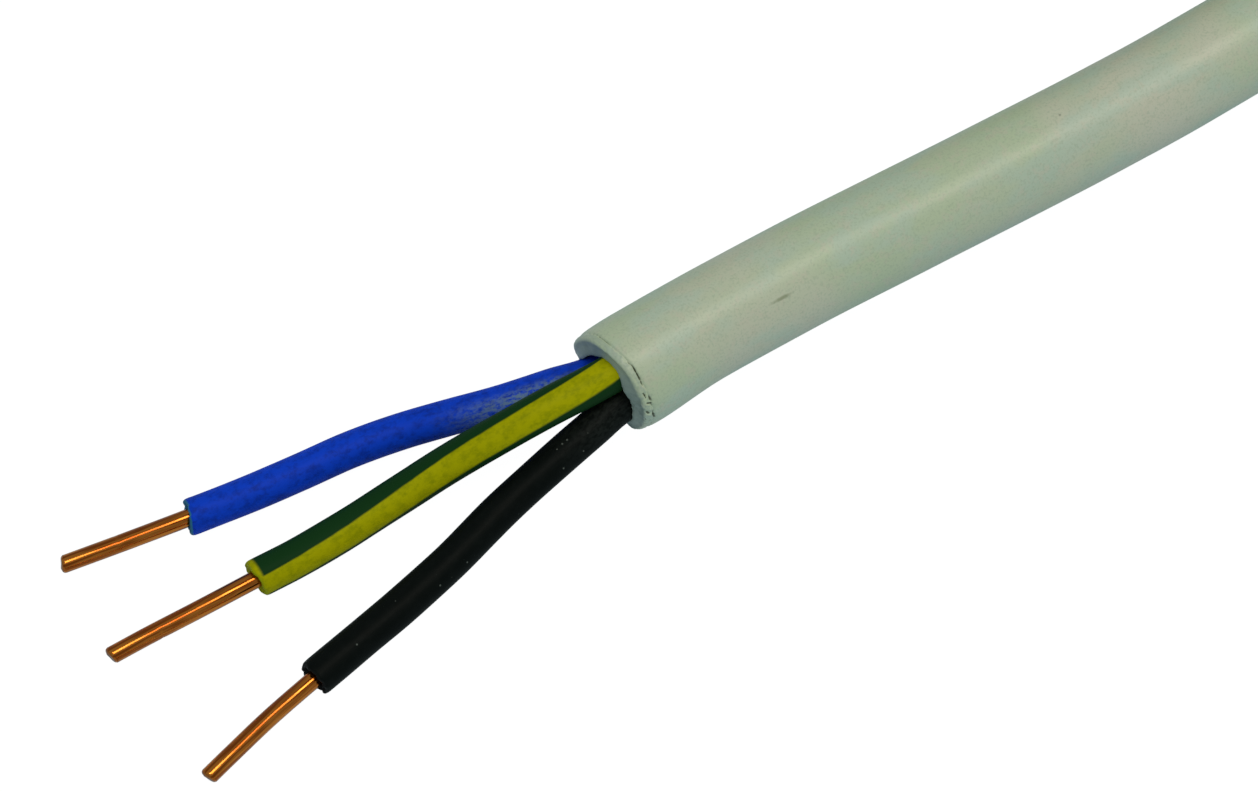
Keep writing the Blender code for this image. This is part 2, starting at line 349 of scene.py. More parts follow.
class Graph:
    """A material's node tree, written as short calls that return sockets."""

    def __init__(self, name: str) -> None:
        """Start a material with a Principled shader.

        Args:
            name: The material's name.
        """
        self.material = bpy.data.materials.new(name)
        self.material.use_nodes = True
        self.tree = self.material.node_tree
        self.shader = self.tree.nodes["Principled BSDF"]

    def feed(self, socket: Socket, value: object) -> None:
        """Link a socket to another, or set it to a number, a triple or a colour."""
        if isinstance(value, bpy.types.NodeSocket):
            self.tree.links.new(value, socket)
        elif isinstance(value, tuple) and socket.type == "RGBA":
            socket.default_value = (*value, 1.0)
        else:
            socket.default_value = value

    def node(self, kind: str, inputs: Optional[dict] = None, **settings: object) -> bpy.types.Node:
        """Add a node, set its properties, and set or link its inputs.

        Args:
            kind: The node's type.
            inputs: A value or a socket for each input, by its name or number.
            **settings: The node's own properties.

        Returns:
            The new node.
        """
        made = self.tree.nodes.new(kind)
        for key, value in settings.items():
            setattr(made, key, value)
        for key, value in (inputs or {}).items():
            self.feed(made.inputs[key], value)
        return made

    def math(self, operation: str, *values: Value) -> Socket:
        """Return the result of a Math node on one to three values."""
        return self.node("ShaderNodeMath", dict(enumerate(values)), operation=operation).outputs[0]

    def attribute(self, name: str) -> bpy.types.Node:
        """Return the node that reads an attribute of the mesh."""
        return self.node("ShaderNodeAttribute", attribute_name=name)

    def lay(self) -> Socket:
        """Return the place on the straightened tube."""
        return self.attribute("lay").outputs["Vector"]

    def cut(self) -> Socket:
        """Return 1 on a face that a knife has cut, and below 0 in a crack or crease that gets
        painted shade.
        """
        return self.attribute("cut").outputs["Fac"]

    def place(self) -> Socket:
        """Return the place in the object's own coordinates."""
        return self.node("ShaderNodeTexCoord").outputs["Object"]

    def parts(self, vector: Socket) -> tuple[Socket, Socket, Socket]:
        """Return the three parts of a vector."""
        outputs = self.node("ShaderNodeSeparateXYZ", {0: vector}).outputs
        return outputs[0], outputs[1], outputs[2]

    def stretched(self, vector: Socket, scale: Triple) -> Socket:
        """Return a vector scaled along each of its axes."""
        return self.node("ShaderNodeMapping", {"Vector": vector, "Scale": scale}).outputs[0]

    def noise(
        self, vector: Socket, scale: float, detail: float = 3.0, rough: float = 0.5
    ) -> Socket:
        """Return a noise from 0 to 1 with that many bumps a metre."""
        inputs = {"Vector": vector, "Scale": scale, "Detail": detail, "Roughness": rough}
        return self.node("ShaderNodeTexNoise", inputs).outputs["Fac"]

    def ramp(self, value: Socket, low: float, high: float, most: float = 1.0) -> Socket:
        """Return a smooth step from 0 at low to most at high, where high may be the smaller one."""
        inputs = {"Value": value, "From Min": low, "From Max": high, "To Max": most}
        if low > high:
            inputs.update({"From Min": high, "From Max": low, "To Min": most, "To Max": 0.0})
        made = self.node("ShaderNodeMapRange", inputs, interpolation_type="SMOOTHSTEP")
        return made.outputs[0]

    def mix(self, factor: Value, first: object, second: object) -> Socket:
        """Return a colour mixed from two, each a triple or a socket."""
        made = self.node("ShaderNodeMix", data_type="RGBA")
        for number, value in ((0, factor), (6, first), (7, second)):
            self.feed(made.inputs[number], value)
        return made.outputs[2]

    def bump(self, height: Socket, distance: float, under: Optional[Socket] = None) -> Socket:
        """Return a normal bent by a height, on top of another bump if one is given."""
        inputs = {"Height": height, "Distance": distance}
        if under is not None:
            inputs["Normal"] = under
        return self.node("ShaderNodeBump", inputs).outputs[0]

    def spot(self, vector: Socket, centre: Triple, size: Triple) -> Socket:
        """Return the distance from a centre, in units of a size along each axis."""
        inputs = {0: vector, 1: centre}
        away = self.node("ShaderNodeVectorMath", inputs, operation="SUBTRACT").outputs[0]
        shrunk = self.stretched(away, tuple(1.0 / part for part in size))
        return self.node("ShaderNodeVectorMath", {0: shrunk}, operation="LENGTH").outputs["Value"]

    def specks(self, vector: Socket, scale: float, size: float, share: float) -> Socket:
        """Return 1 on small round specks, in a share of the cells of that many a metre."""
        cells = self.node("ShaderNodeTexVoronoi", {"Vector": vector, "Scale": scale})
        inside = self.ramp(cells.outputs["Distance"], size, size * 0.5)
        channels = self.node("ShaderNodeSeparateColor", {0: cells.outputs["Color"]})
        chosen = self.math("LESS_THAN", channels.outputs[0], share)
        return self.math("MULTIPLY", inside, chosen)

    def finish(self, sockets: dict[str, object]) -> bpy.types.Material:
        """Set or link the shader's inputs and return the material.

        Args:
            sockets: A value or a socket for each input that isn't left at its default.

        Returns:
            The finished material.
        """
        for name, value in sockets.items():
            self.feed(self.shader.inputs[name], value)
        return self.material


def on_surface(radius: float, degrees: float, along: float) -> Triple:
    """Return a place on a straightened tube's surface, from its angle and place along."""
    angle = math.radians(degrees)
    return (radius * math.cos(angle), radius * math.sin(angle), along)


@dataclass(frozen=True)
class SheathFinish:
    """Light grey-green PVC, satin and a little mottled, with faint extruder lines along it, and
    painted shade on its cut face and in its cracks.

    Attributes:
        radius: The sheath's radius.
        green: Its main colour.
        warm: The colour of its wide clouds.
        cool: The colour of its smaller patches.
        blotch: The colour of its uneven blotches.
        streak: The colour of the streaks along it.
        grain: The colour of its fine grain.
        speck: The colour of the few dark specks.
        cut_face: The colour where a knife has cut it, darker and bluer than the outside: painted
            shade on the cut face.
        painted_crack_shade: The dark colour painted into the cracks, the crease and the torn edge's
            hollows: painted shade.
        scuff: The colour of the one dark scuff.
        scuff_size: How far the scuff reaches on each axis of the straightened cable.
        scuff_angle: Where the scuff lies round the cable, in degrees.
        scuff_along: How far from the mouth the scuff lies.
        roughness: How rough the surface is on the whole.
    """

    radius: float = 4.3 * MM
    green: Triple = (0.55, 0.64, 0.44)
    warm: Triple = (0.66, 0.65, 0.52)
    cool: Triple = (0.53, 0.64, 0.52)
    blotch: Triple = (0.64, 0.61, 0.48)
    streak: Triple = (0.66, 0.68, 0.57)
    grain: Triple = (0.38, 0.47, 0.33)
    speck: Triple = (0.16, 0.17, 0.12)
    # Darker and bluer than the outside: painted shade on the cut face.
    cut_face: Triple = (0.29, 0.37, 0.35)
    # Painted shade: the dark colour for the cracks, the crease and the torn edge's hollows.
    painted_crack_shade: Triple = (0.10, 0.115, 0.07)
    scuff: Triple = (0.27, 0.30, 0.17)
    scuff_size: Triple = (0.22 * MM, 0.22 * MM, 1.35 * MM)
    scuff_angle: float = 50.0
    scuff_along: float = 13.9 * MM
    roughness: float = 0.38

    def make(self) -> bpy.types.Material:
        """Return the sheath's material."""
        graph = Graph("grey_sheath")
        lay = graph.lay()
        cloud = graph.noise(lay, 70.0, 2.0)
        patch = graph.noise(graph.stretched(lay, (1.0, 1.0, 0.45)), 420.0, 3.0)
        streak = graph.noise(graph.stretched(lay, (1.0, 1.0, 0.03)), 1500.0, 2.0)
        grain = graph.noise(lay, 5200.0, 3.0, 0.6)
        colour = graph.mix(graph.ramp(cloud, 0.36, 0.64), self.green, self.warm)
        colour = graph.mix(graph.ramp(patch, 0.42, 0.68, 0.8), colour, self.cool)
        blotch = graph.noise(lay, 1100.0, 4.0, 0.65)
        colour = graph.mix(graph.ramp(blotch, 0.50, 0.68, 0.5), colour, self.blotch)
        colour = graph.mix(graph.ramp(streak, 0.5, 0.8, 0.16), colour, self.streak)
        colour = graph.mix(graph.ramp(grain, 0.46, 0.70, 0.42), colour, self.grain)
        centre = on_surface(self.radius, self.scuff_angle, self.scuff_along)
        mark = graph.spot(lay, centre, self.scuff_size)
        torn = graph.noise(graph.stretched(lay, (1.0, 1.0, 0.3)), 3400.0, 3.0)
        mark = graph.ramp(graph.math("ADD", mark, torn), 1.55, 0.55, 0.75)
        colour = graph.mix(mark, colour, self.scuff)
        colour = graph.mix(graph.specks(lay, 420.0, 0.09, 0.12), colour, self.speck)
        cut = graph.cut()
        # Painted shade: the cut face, at the mouth and at the far end, is darkened and turned
        # bluer.
        colour = graph.mix(graph.ramp(cut, 0.0, 1.0, 0.85), colour, self.cut_face)
        # Painted shade: a dark colour put into the cracks, the crease behind the torn band and the
        # torn edge's hollows.
        colour = graph.mix(graph.ramp(cut, -0.15, -0.8, 0.9), colour, self.painted_crack_shade)
        rough = graph.math("MULTIPLY_ADD", patch, 0.16, self.roughness - 0.08)
        lines = graph.bump(streak, 0.006 * MM)
        peel = graph.bump(graph.noise(lay, 1900.0, 2.0), 0.012 * MM, lines)
        sockets = {
            "Base Color": colour,
            "Roughness": rough,
            "Specular IOR Level": 0.5,
            "Normal": graph.bump(grain, 0.004 * MM, peel),
        }
        return graph.finish(sockets)


@dataclass(frozen=True)
class Dust:
    """Pale dust rubbed on one side of a core near the mouth.

    Attributes:
        colour: The dust's own colour.
        angle: The side that it is on, in degrees.
        start: How far from the core's inner end it has thinned out by half.
        amount: How thickly it covers, from 0 to 1.
    """

    colour: Triple
    angle: float
    start: float
    amount: float


@dataclass(frozen=True)
class InsulationFinish:
    """Matt PVC insulation in one colour, with a darker mottle, a cut face and some dust.

    Attributes:
        name: The material's name.
        colour: Its main colour.
        shade: The colour of its mottle.
        cut_face: The colour where a knife has cut it.
        dust: The dust near the mouth.
        roughness: How rough the surface is on the whole.
        specular: How strongly it reflects.
        radius: The core's radius.
        lint: The share of places that hold a speck of lint.
        lint_colour: The colour of the lint.
    """

    name: str
    colour: Triple
    shade: Triple
    cut_face: Triple
    dust: Dust
    roughness: float = 0.5
    specular: float = 0.12
    radius: float = 1.475 * MM
    lint: float = 0.0
    lint_colour: Triple = (0.10, 0.11, 0.10)

    def body_colour(self, graph: Graph, lay: Socket) -> Socket:
        """Return the insulation's colour, with its mottle."""
        patch = graph.noise(graph.stretched(lay, (1.0, 1.0, 0.7)), 1700.0, 5.0, 0.7)
        return graph.mix(graph.ramp(patch, 0.4, 0.7), self.colour, self.shade)

    def dust_cover(self, graph: Graph, lay: Socket) -> Socket:
        """Return how much of the surface the dust hides, from 0 to 1."""
        across, above, along = graph.parts(lay)
        angle = math.radians(self.dust.angle)
        facing = graph.math(
            "MULTIPLY_ADD",
            across,
            math.cos(angle) / self.radius,
            graph.math("MULTIPLY", above, math.sin(angle) / self.radius),
        )
        side = graph.ramp(facing, 0.1, 0.9)
        near = graph.ramp(along, self.dust.start + 5.0 * MM, self.dust.start - 4.0 * MM)
        speckle = graph.noise(graph.stretched(lay, (1.0, 1.0, 0.5)), 4200.0, 4.0, 0.7)
        cover = graph.math("MULTIPLY", side, near)
        cover = graph.math("MULTIPLY", cover, graph.ramp(speckle, 0.35, 0.62))
        return graph.math("MULTIPLY", cover, self.dust.amount)

    def make(self) -> bpy.types.Material:
        """Return the insulation's material."""
        graph = Graph(self.name)
        lay = graph.lay()
        grain = graph.noise(lay, 6500.0, 3.0, 0.6)
        streak = graph.noise(graph.stretched(lay, (1.0, 1.0, 0.05)), 4200.0, 2.0)
        colour = self.body_colour(graph, lay)
        colour = graph.mix(self.dust_cover(graph, lay), colour, self.dust.colour)
        if self.lint:
            lint = graph.specks(lay, 1500.0, 0.16, self.lint)
            colour = graph.mix(lint, colour, self.lint_colour)
        colour = graph.mix(graph.cut(), colour, self.cut_face)
        lines = graph.bump(streak, 0.008 * MM)
        sockets = {
            "Base Color": colour,
            "Roughness": graph.math("MULTIPLY_ADD", grain, 0.14, self.roughness - 0.07),
            "Specular IOR Level": self.specular,
            "Normal": graph.bump(grain, 0.006 * MM, lines),
        }
        return graph.finish(sockets)


class Lane(NamedTuple):
    """A stripe that winds along a core.

    Attributes:
        middle: Where its middle lies at the core's inner end, in degrees.
        half: Half its width, in degrees.
        turn: How many degrees it turns for each metre.
        bend: How far it is twisted at the mouth, in degrees.
    """

    middle: float
    half: float
    turn: float
    bend: float


@dataclass(frozen=True)
class StripedFinish(InsulationFinish):
    """Insulation with two stripes of a second colour that wind slowly round it.

    Attributes:
        stripe: The stripes' colour.
        lanes: The stripes.
        mouth: How far from the core's inner end the sheath's mouth is.
        twist_reach: Over what distance the twist at the mouth dies away.
        stop: How far from the core's inner end the stripes stop, short of the cut.
        fade: Over what distance they fade out before that.
        softness: Half the width of a stripe's soft edge, as a share of the radius.
        wander: How far a stripe's edge wanders, in the same measure.
    """

    stripe: Triple = (0.008, 0.045, 0.011)
    lanes: tuple[Lane, ...] = (
        Lane(9.8, 51.0, 1450.0, -16.0),
        Lane(180.7, 30.0, 1000.0, -12.0),
    )
    mouth: float = 8.9 * MM
    twist_reach: float = 3.0 * MM
    stop: float = 39.47 * MM
    fade: float = 0.35 * MM
    softness: float = 0.05
    wander: float = 0.06

    def body_colour(self, graph: Graph, lay: Socket) -> Socket:
        """Return the colour with its stripes.

        Args:
            graph: The material's node tree.
            lay: The place on the straightened tube.

        Returns:
            The colour of the uncut surface.
        """
        plain = super().body_colour(graph, lay)
        across, above, along = graph.parts(lay)
        ragged = graph.noise(graph.stretched(lay, (1.0, 1.0, 0.2)), 2600.0, 3.0)
        reach = graph.math(
            "MULTIPLY_ADD", along, -1.0 / self.twist_reach, self.mouth / self.twist_reach
        )
        twist = graph.math("EXPONENT", reach)
        cover = None
        for lane in self.lanes:
            start, turn = math.radians(lane.middle), math.radians(lane.turn)
            angle = graph.math("MULTIPLY_ADD", along, turn, start)
            angle = graph.math("MULTIPLY_ADD", twist, math.radians(lane.bend), angle)
            level = graph.math("MULTIPLY", across, graph.math("COSINE", angle))
            level = graph.math("MULTIPLY_ADD", above, graph.math("SINE", angle), level)
            level = graph.math("DIVIDE", level, self.radius)
            level = graph.math("MULTIPLY_ADD", ragged, self.wander, level)
            edge = math.cos(math.radians(lane.half)) + self.wander / 2
            band = graph.ramp(level, edge - self.softness, edge + self.softness)
            cover = band if cover is None else graph.math("MAXIMUM", cover, band)
        short = graph.ramp(along, self.stop, self.stop - self.fade)
        return graph.mix(graph.math("MULTIPLY", cover, short), plain, self.stripe)


@dataclass(frozen=True)
class CopperFinish:
    """Bare drawn copper wire, browned in streaks, with a thin bright film on it.

    Attributes:
        bright: The colour of the clean metal.
        brown: The colour of the streaks.
        dull: The colour of the cut tip.
        roughness: How rough the metal is on the whole.
        film: How strong the film is, from 0 to 1.
        film_roughness: How rough the film is.
    """

    bright: Triple = (0.80, 0.25, 0.03)
    brown: Triple = (0.36, 0.065, 0.001)
    dull: Triple = (0.20, 0.055, 0.006)
    roughness: float = 0.17
    film: float = 0.24
    film_roughness: float = 0.05

    def make(self) -> bpy.types.Material:
        """Return the wire's material."""
        graph = Graph("bare_copper")
        lay = graph.lay()
        drawn = graph.noise(graph.stretched(lay, (1.0, 1.0, 0.035)), 4200.0, 4.0, 0.65)
        patch = graph.noise(graph.stretched(lay, (1.0, 1.0, 0.3)), 1300.0, 3.0)
        grain = graph.noise(lay, 9000.0, 3.0, 0.6)
        colour = graph.mix(graph.ramp(drawn, 0.38, 0.62), self.bright, self.brown)
        colour = graph.mix(graph.ramp(patch, 0.5, 0.72, 0.7), colour, self.brown)
        colour = graph.mix(graph.math("MULTIPLY", graph.cut(), 0.6), colour, self.dull)
        rough = graph.math("MULTIPLY_ADD", patch, 0.2, self.roughness - 0.1)
        lines = graph.bump(drawn, 0.004 * MM)
        sockets = {
            "Base Color": colour,
            "Metallic": 1.0,
            "Roughness": rough,
            "Coat Weight": self.film,
            "Coat Roughness": self.film_roughness,
            "Normal": graph.bump(grain, 0.002 * MM, lines),
        }
        return graph.finish(sockets)


@dataclass(frozen=True)
class NylonFinish:
    """Black moulded nylon of the cable ties."""

    colour: Triple = (0.012, 0.012, 0.013)
    worn: Triple = (0.03, 0.03, 0.032)
    roughness: float = 0.36

    def make(self) -> bpy.types.Material:
        """Return the ties' material."""
        graph = Graph("black_nylon")
        place = graph.place()
        patch = graph.noise(place, 260.0, 4.0)
        grain = graph.noise(place, 3800.0, 3.0, 0.6)
        sockets = {
            "Base Color": graph.mix(graph.ramp(patch, 0.45, 0.8), self.colour, self.worn),
            "Roughness": graph.math("MULTIPLY_ADD", patch, 0.2, self.roughness - 0.1),
            "Normal": graph.bump(grain, 0.008 * MM),
        }
        return graph.finish(sockets)


@dataclass
class CablePlan:
    """Where the cable runs: its free stretch and the turns of its coil, from the CAD coil's box.

    Angles are in degrees round the coil, seen from above.

    Attributes:
        length: The cable's sold length.
        diameter: The sheath's diameter.
        pitch: How far apart neighbouring turns lie.
        row_turns: How many turns lie in each row, from the lowest row up.
        lift: How high the coil lies on the straps of its ties.
        join_angle: Where the free stretch leaves the coil.
        crossing_start: Where the turns start to cross to the next turn's radius.
        crossing_end: Where they have crossed.
        hump_start: Where the upper rows start to rise over the crossing turns below them.
        hump_top: Where they have risen.
        hump_fall: Where they start to fall again.
        hump_end: Where they have fallen.
        far_end: Where the cable's far end lies.
        turn_step: How far apart the points of the turns are, in degrees.
        wobble: How unevenly the turns lie.
        climb: The part of the crossing in which the cable climbs to the next row.
        delay: The part of the crossing that passes before it changes its radius there.
        swing: How far it swings aside there, in pitches.
        free_route: The points of the free stretch from its mouth on, seen from the join.
    """

    length: float = 10.0
    diameter: float = 8.6 * MM
    pitch: float = 8.7 * MM
    row_turns: tuple[int, ...] = (6, 5, 6, 5)
    lift: float = 1.5 * MM
    join_angle: float = -30.0
    crossing_start: float = -78.0
    crossing_end: float = -30.0
    hump_start: float = -87.0
    hump_top: float = -72.0
    hump_fall: float = -33.0
    hump_end: float = -10.0
    far_end: float = -75.0
    turn_step: float = 2.5
    wobble: float = 0.13 * MM
    climb: float = 0.6
    delay: float = 0.35
    swing: float = 0.42
    free_route: tuple[Triple, ...] = (
        (-0.1183, -0.1048, 0.0043),
        (-0.1161, -0.1032, 0.0043),
        (-0.1116, -0.1000, 0.0043),
        (-0.1038, -0.0951, 0.0043),
        (-0.0958, -0.0904, 0.0043),
        (-0.0878, -0.0857, 0.0043),
        (-0.0796, -0.0808, 0.0043),
        (-0.0722, -0.0761, 0.0043),
        (-0.0600, -0.0675, 0.00435),
        (-0.0455, -0.0552, 0.0046),
        (-0.0320, -0.0417, 0.0052),
        (-0.0198, -0.0274, 0.0057),
        (-0.0092, -0.0134, 0.0058),
        (0.0000, 0.0000, 0.0058),
    )
    centre: Vector = field(init=False)
    outer: float = field(init=False)
    join: Vector = field(init=False)
    line: Line = field(init=False)

    def __post_init__(self) -> None:
        """Work out the coil's place from its CAD node, and the cable's whole line."""
        low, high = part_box("coil")
        self.centre = Vector(((low.x + high.x) / 2, (low.y + high.y) / 2, 0.0))
        self.outer = (high.x - low.x) / 2 - self.diameter / 2
        angle = math.radians(self.join_angle)
        self.join = self.centre + Vector((math.cos(angle), math.sin(angle), 0.0)) * self.outer
        free = smooth_curve([self.join + Vector(point) for point in self.free_route])
        self.line = Line(free[:-1] + self.coil_points())

    @property
    def free_length(self) -> float:
        """The length of the free stretch."""
        return Line(smooth_curve([Vector(point) for point in self.free_route])).length

    @property
    def row_rise(self) -> float:
        """How much higher each row of turns lies than the one below, in whose valleys it rests."""
        return self.pitch * math.sqrt(3) / 2

    def slots(self) -> list[tuple[float, int]]:
        """Return each turn's radius and row, in the order in which the turns are wound."""
        inner = self.outer - (self.row_turns[0] - 1) * self.pitch
        order = []
        for row, turns in enumerate(self.row_turns):
            columns = range(turns) if row % 2 else reversed(range(turns))
            order += [(inner + (column + 0.5 * (row % 2)) * self.pitch, row) for column in columns]
        return order

    def hump(self, degrees: float) -> float:
        """Return how much of the hump over the crossing turns a place on the circle has."""
        rise = smoothstep((degrees - self.hump_start) / (self.hump_top - self.hump_start))
        fall = smoothstep((degrees - self.hump_fall) / (self.hump_end - self.hump_fall))
        return rise * (1.0 - fall)

    def coil_points(self) -> list[Vector]:
        """Return the points of the wound turns.

        Each turn keeps its radius until just before the place where the cable joins the coil,
        and crosses there to the next turn's. At a row's end it climbs to the next row instead.

        Returns:
            The points from the join to the far end.
        """
        slots = self.slots()
        last = 360.0 * len(slots) + self.far_end - self.join_angle
        points = []
        for wound in spaced(0.0, last, self.turn_step):
            turn = min(int(wound // 360.0), len(slots) - 1)
            degrees = self.join_angle + wound - 360.0 * turn
            radius, row = slots[turn]
            next_radius, next_row = slots[min(turn + 1, len(slots) - 1)]
            if degrees > 180.0:
                degrees -= 360.0
            crossed = degrees - self.crossing_start if degrees < self.crossing_end else 0.0
            part = crossed / (self.crossing_end - self.crossing_start)
            if next_row == row:
                radius += (next_radius - radius) * smoothstep(part)
                level = float(row)
            else:
                outwards = 1.0 if next_radius > self.outer - 1.0 * MM else -1.0
                moved = smoothstep((part - self.delay) / (1.0 - self.delay))
                swung = math.sin(math.pi * min(max(part, 0.0), 1.0)) ** 2
                radius += (next_radius - radius) * moved
                radius += outwards * self.swing * self.pitch * swung
                level = row + smoothstep(part / self.climb)
            settled = smoothstep(wound / 25.0)
            sway = Vector((wound / 31.0, turn * 7.3, 0.0))
            radius += self.wobble * settled * noise.noise(sway)
            height = self.lift + self.diameter / 2 + level * self.row_rise
            height += level * (self.pitch - self.row_rise) * self.hump(degrees)
            height += 0.4 * self.wobble * settled * noise.noise(sway + Vector((0.0, 0.0, 9.0)))
            angle = math.radians(degrees)
            points.append(
                self.centre + Vector((radius * math.cos(angle), radius * math.sin(angle), height))
            )
        return points


@dataclass(frozen=True)
class Crack:
    """A fine crack or tear in the sheath beside the cut.

    Attributes:
        angles: Where it starts and ends round the sheath, in degrees.
        alongs: Where it starts and ends along the sheath.
        depth: How deep it is.
        width: Half of its width at the surface.
    """

    angles: tuple[float, float]
    alongs: tuple[float, float]
    depth: float
    width: float

    def dent(self, degrees: float, along: float, radius: float) -> float:
        """Return how deep the crack is at a place on the surface."""
        start = Vector((math.radians(self.angles[0]) * radius, self.alongs[0]))
        end = Vector((math.radians(self.angles[1]) * radius, self.alongs[1]))
        place = Vector((math.radians(degrees) * radius, along))
        run = end - start
        part = min(max((place - start).dot(run) / run.length_squared, 0.0), 1.0)
        away = (place - start - run * part).length / self.width
        return self.depth * math.exp(-away * away) * math.sin(math.pi * (0.12 + 0.76 * part))


@dataclass
class Mouth:
    """The sheath's cut mouth: a lip that hugs the cores, a bright edge, and a torn band behind it.

    Angles are in degrees round the sheath. Places along it count from the CAD sheath's end, and
    those ahead of it are below zero.

    Attributes:
        plan: Where the cable runs.
        cores: The lines of the three cores, which the lip hugs.
        reach: How far back along the sheath the mouth's own rings run.
        bore: The radius of the bore.
        lip: The least and the greatest radius of the lip's inner edge.
        slant: How far the cut leans, and the side that stands furthest ahead.
        bumps: The cut's uneven places: the angle, the width, and how far it is moved back there.
        cones: Where and how far the inner edge stands ahead of the outer one, in the same way.
        ragged: How uneven the torn edge is.
        groove_shade: How much painted shade darkens the crease behind the band, as a cut value.
        cracks: The cracks and tears in the band behind the edge.
        overhang: How far ahead of the CAD sheath's end the cut stands on the whole.
        cone: How far the inner edge stands ahead of the outer one on the whole.
        bore_rings: The bore's rings: the place in millimetres, and how far it has narrowed.
        face_rings: The cut face's rings: the part of the way from the lip to the outer corner, the
            place in millimetres, and how much of the cone they take up.
        face_outer: The radius of the outer corner.
        band: The outside's rings behind the corner: the place and the radius in millimetres.
        core_radius: The radius of a core.
        core_gap: How far the lip stays off the cores.
        search: How far along the cores the place is looked for where they pass the mouth.
        search_ahead: How far ahead of the mouth that place is.
        blur: The angles either side over which the lip is evened out, in radians.
        torn_side: The middle and the width of the most torn side, in degrees.
        skin: The radius past which a place is on the outside and can be torn.
        crack_full: The depth at which a crack's painted shade is full.
        crack_shade_tone: How much painted shade a crack then gets, as a cut value.
        hollow_shade_tone: How much painted shade the torn edge's hollows get, as a cut value.
        worn_full: The unevenness at which their painted shade is full.
    """

    plan: CablePlan
    cores: list[Line]
    reach: float = 7.4 * MM
    bore: float = 3.36 * MM
    lip: tuple[float, float] = (2.75 * MM, 3.28 * MM)
    overhang: float = 0.25 * MM
    slant: tuple[float, float] = (0.30 * MM, 150.0)
    cone: float = 0.22 * MM
    ragged: float = 0.08 * MM
    groove_shade: float = 0.30
    bumps: tuple[Triple, ...] = (
        (60.0, 35.0, 0.20 * MM),
        (168.0, 26.0, -0.34 * MM),
        (-42.0, 26.0, -0.30 * MM),
    )
    cones: tuple[Triple, ...] = (
        (42.0, 24.0, 0.38 * MM),
        (125.0, 40.0, -0.12 * MM),
        (-20.0, 30.0, 0.12 * MM),
    )
    bore_rings: tuple[tuple[float, float], ...] = (
        (8.0, 0.0),
        (4.0, 0.0),
        (2.2, 0.15),
        (1.3, 0.55),
        (0.7, 0.85),
        (0.3, 1.0),
        (0.1, 1.0),
    )
    face_rings: tuple[Triple, ...] = (
        (0.00, 0.03, 1.00),
        (0.07, 0.00, 0.95),
        (0.20, 0.01, 0.78),
        (0.35, 0.02, 0.60),
        (0.50, 0.03, 0.42),
        (0.64, 0.02, 0.26),
        (0.76, -0.02, 0.12),
        (0.86, -0.04, 0.03),
        (0.93, 0.00, 0.0),
        (0.97, 0.05, 0.0),
        (1.00, 0.11, 0.0),
    )
    face_outer: float = 4.26 * MM
    band: tuple[tuple[float, float], ...] = (
        (0.18, 4.295),
        (0.25, 4.315),
        (0.32, 4.325),
        (0.39, 4.33),
        (0.45, 4.33),
        (0.50, 4.325),
        (0.55, 4.31),
        (0.595, 4.30),
        (0.635, 4.325),
        (0.68, 4.37),
        (0.73, 4.395),
        (0.79, 4.41),
        (0.88, 4.425),
        (1.00, 4.44),
        (1.20, 4.455),
        (1.50, 4.47),
        (2.00, 4.48),
        (2.60, 4.47),
        (3.40, 4.44),
        (4.40, 4.40),
        (5.60, 4.355),
        (6.60, 4.32),
        (7.40, 4.305),
    )
    cracks: tuple[Crack, ...] = (
        Crack((69.0, 43.0), (0.57 * MM, 0.47 * MM), 0.19 * MM, 0.045 * MM),
        Crack((80.0, 69.0), (0.16 * MM, 0.52 * MM), 0.06 * MM, 0.05 * MM),
        Crack((140.0, 118.0), (0.18 * MM, 0.12 * MM), 0.035 * MM, 0.05 * MM),
        Crack((118.0, 84.0), (0.12 * MM, 0.20 * MM), 0.035 * MM, 0.045 * MM),
        Crack((62.0, 40.0), (0.20 * MM, 0.14 * MM), 0.06 * MM, 0.05 * MM),
        Crack((38.5, 30.0), (0.27 * MM, 0.36 * MM), 0.20 * MM, 0.07 * MM),
        Crack((31.0, 25.0), (0.56 * MM, 0.70 * MM), 0.12 * MM, 0.05 * MM),
        Crack((24.5, 22.0), (0.15 * MM, 0.60 * MM), 0.17 * MM, 0.06 * MM),
        Crack((13.0, 7.5), (0.08 * MM, 0.28 * MM), 0.18 * MM, 0.07 * MM),
        Crack((8.0, -2.0), (0.54 * MM, 0.68 * MM), 0.18 * MM, 0.07 * MM),
        Crack((4.0, -4.0), (-0.10 * MM, 0.02 * MM), 0.12 * MM, 0.06 * MM),
        Crack((-3.0, -9.0), (0.34 * MM, 0.24 * MM), 0.13 * MM, 0.06 * MM),
    )
    core_radius: float = 1.5 * MM
    core_gap: float = 0.05 * MM
    search: float = 14.0 * MM
    search_ahead: float = 0.6 * MM
    blur: tuple[float, ...] = (-0.14, -0.07, 0.0, 0.07, 0.14)
    torn_side: tuple[float, float] = (18.0, 34.0)
    skin: float = 4.1 * MM
    crack_full: float = 0.14 * MM
    crack_shade_tone: float = 1.7
    hollow_shade_tone: float = 1.1
    worn_full: float = 0.1 * MM
    bundle: list[tuple[float, float]] = field(init=False)

    def __post_init__(self) -> None:
        """Find where each core passes the mouth, seen along the cable."""
        centre, side, up = self.plan.line.axes(0.0)
        ahead = side.cross(up)

        def away(place: Vector) -> float:
            """Return how far a place lies from where the cores are looked at."""
            return abs((place - centre).dot(ahead) - self.search_ahead)

        self.bundle = []
        for core in self.cores:
            crossing = min(core.places(0.0, self.search, 0.1 * MM), key=away)
            self.bundle.append(((crossing - centre).dot(side), (crossing - centre).dot(up)))

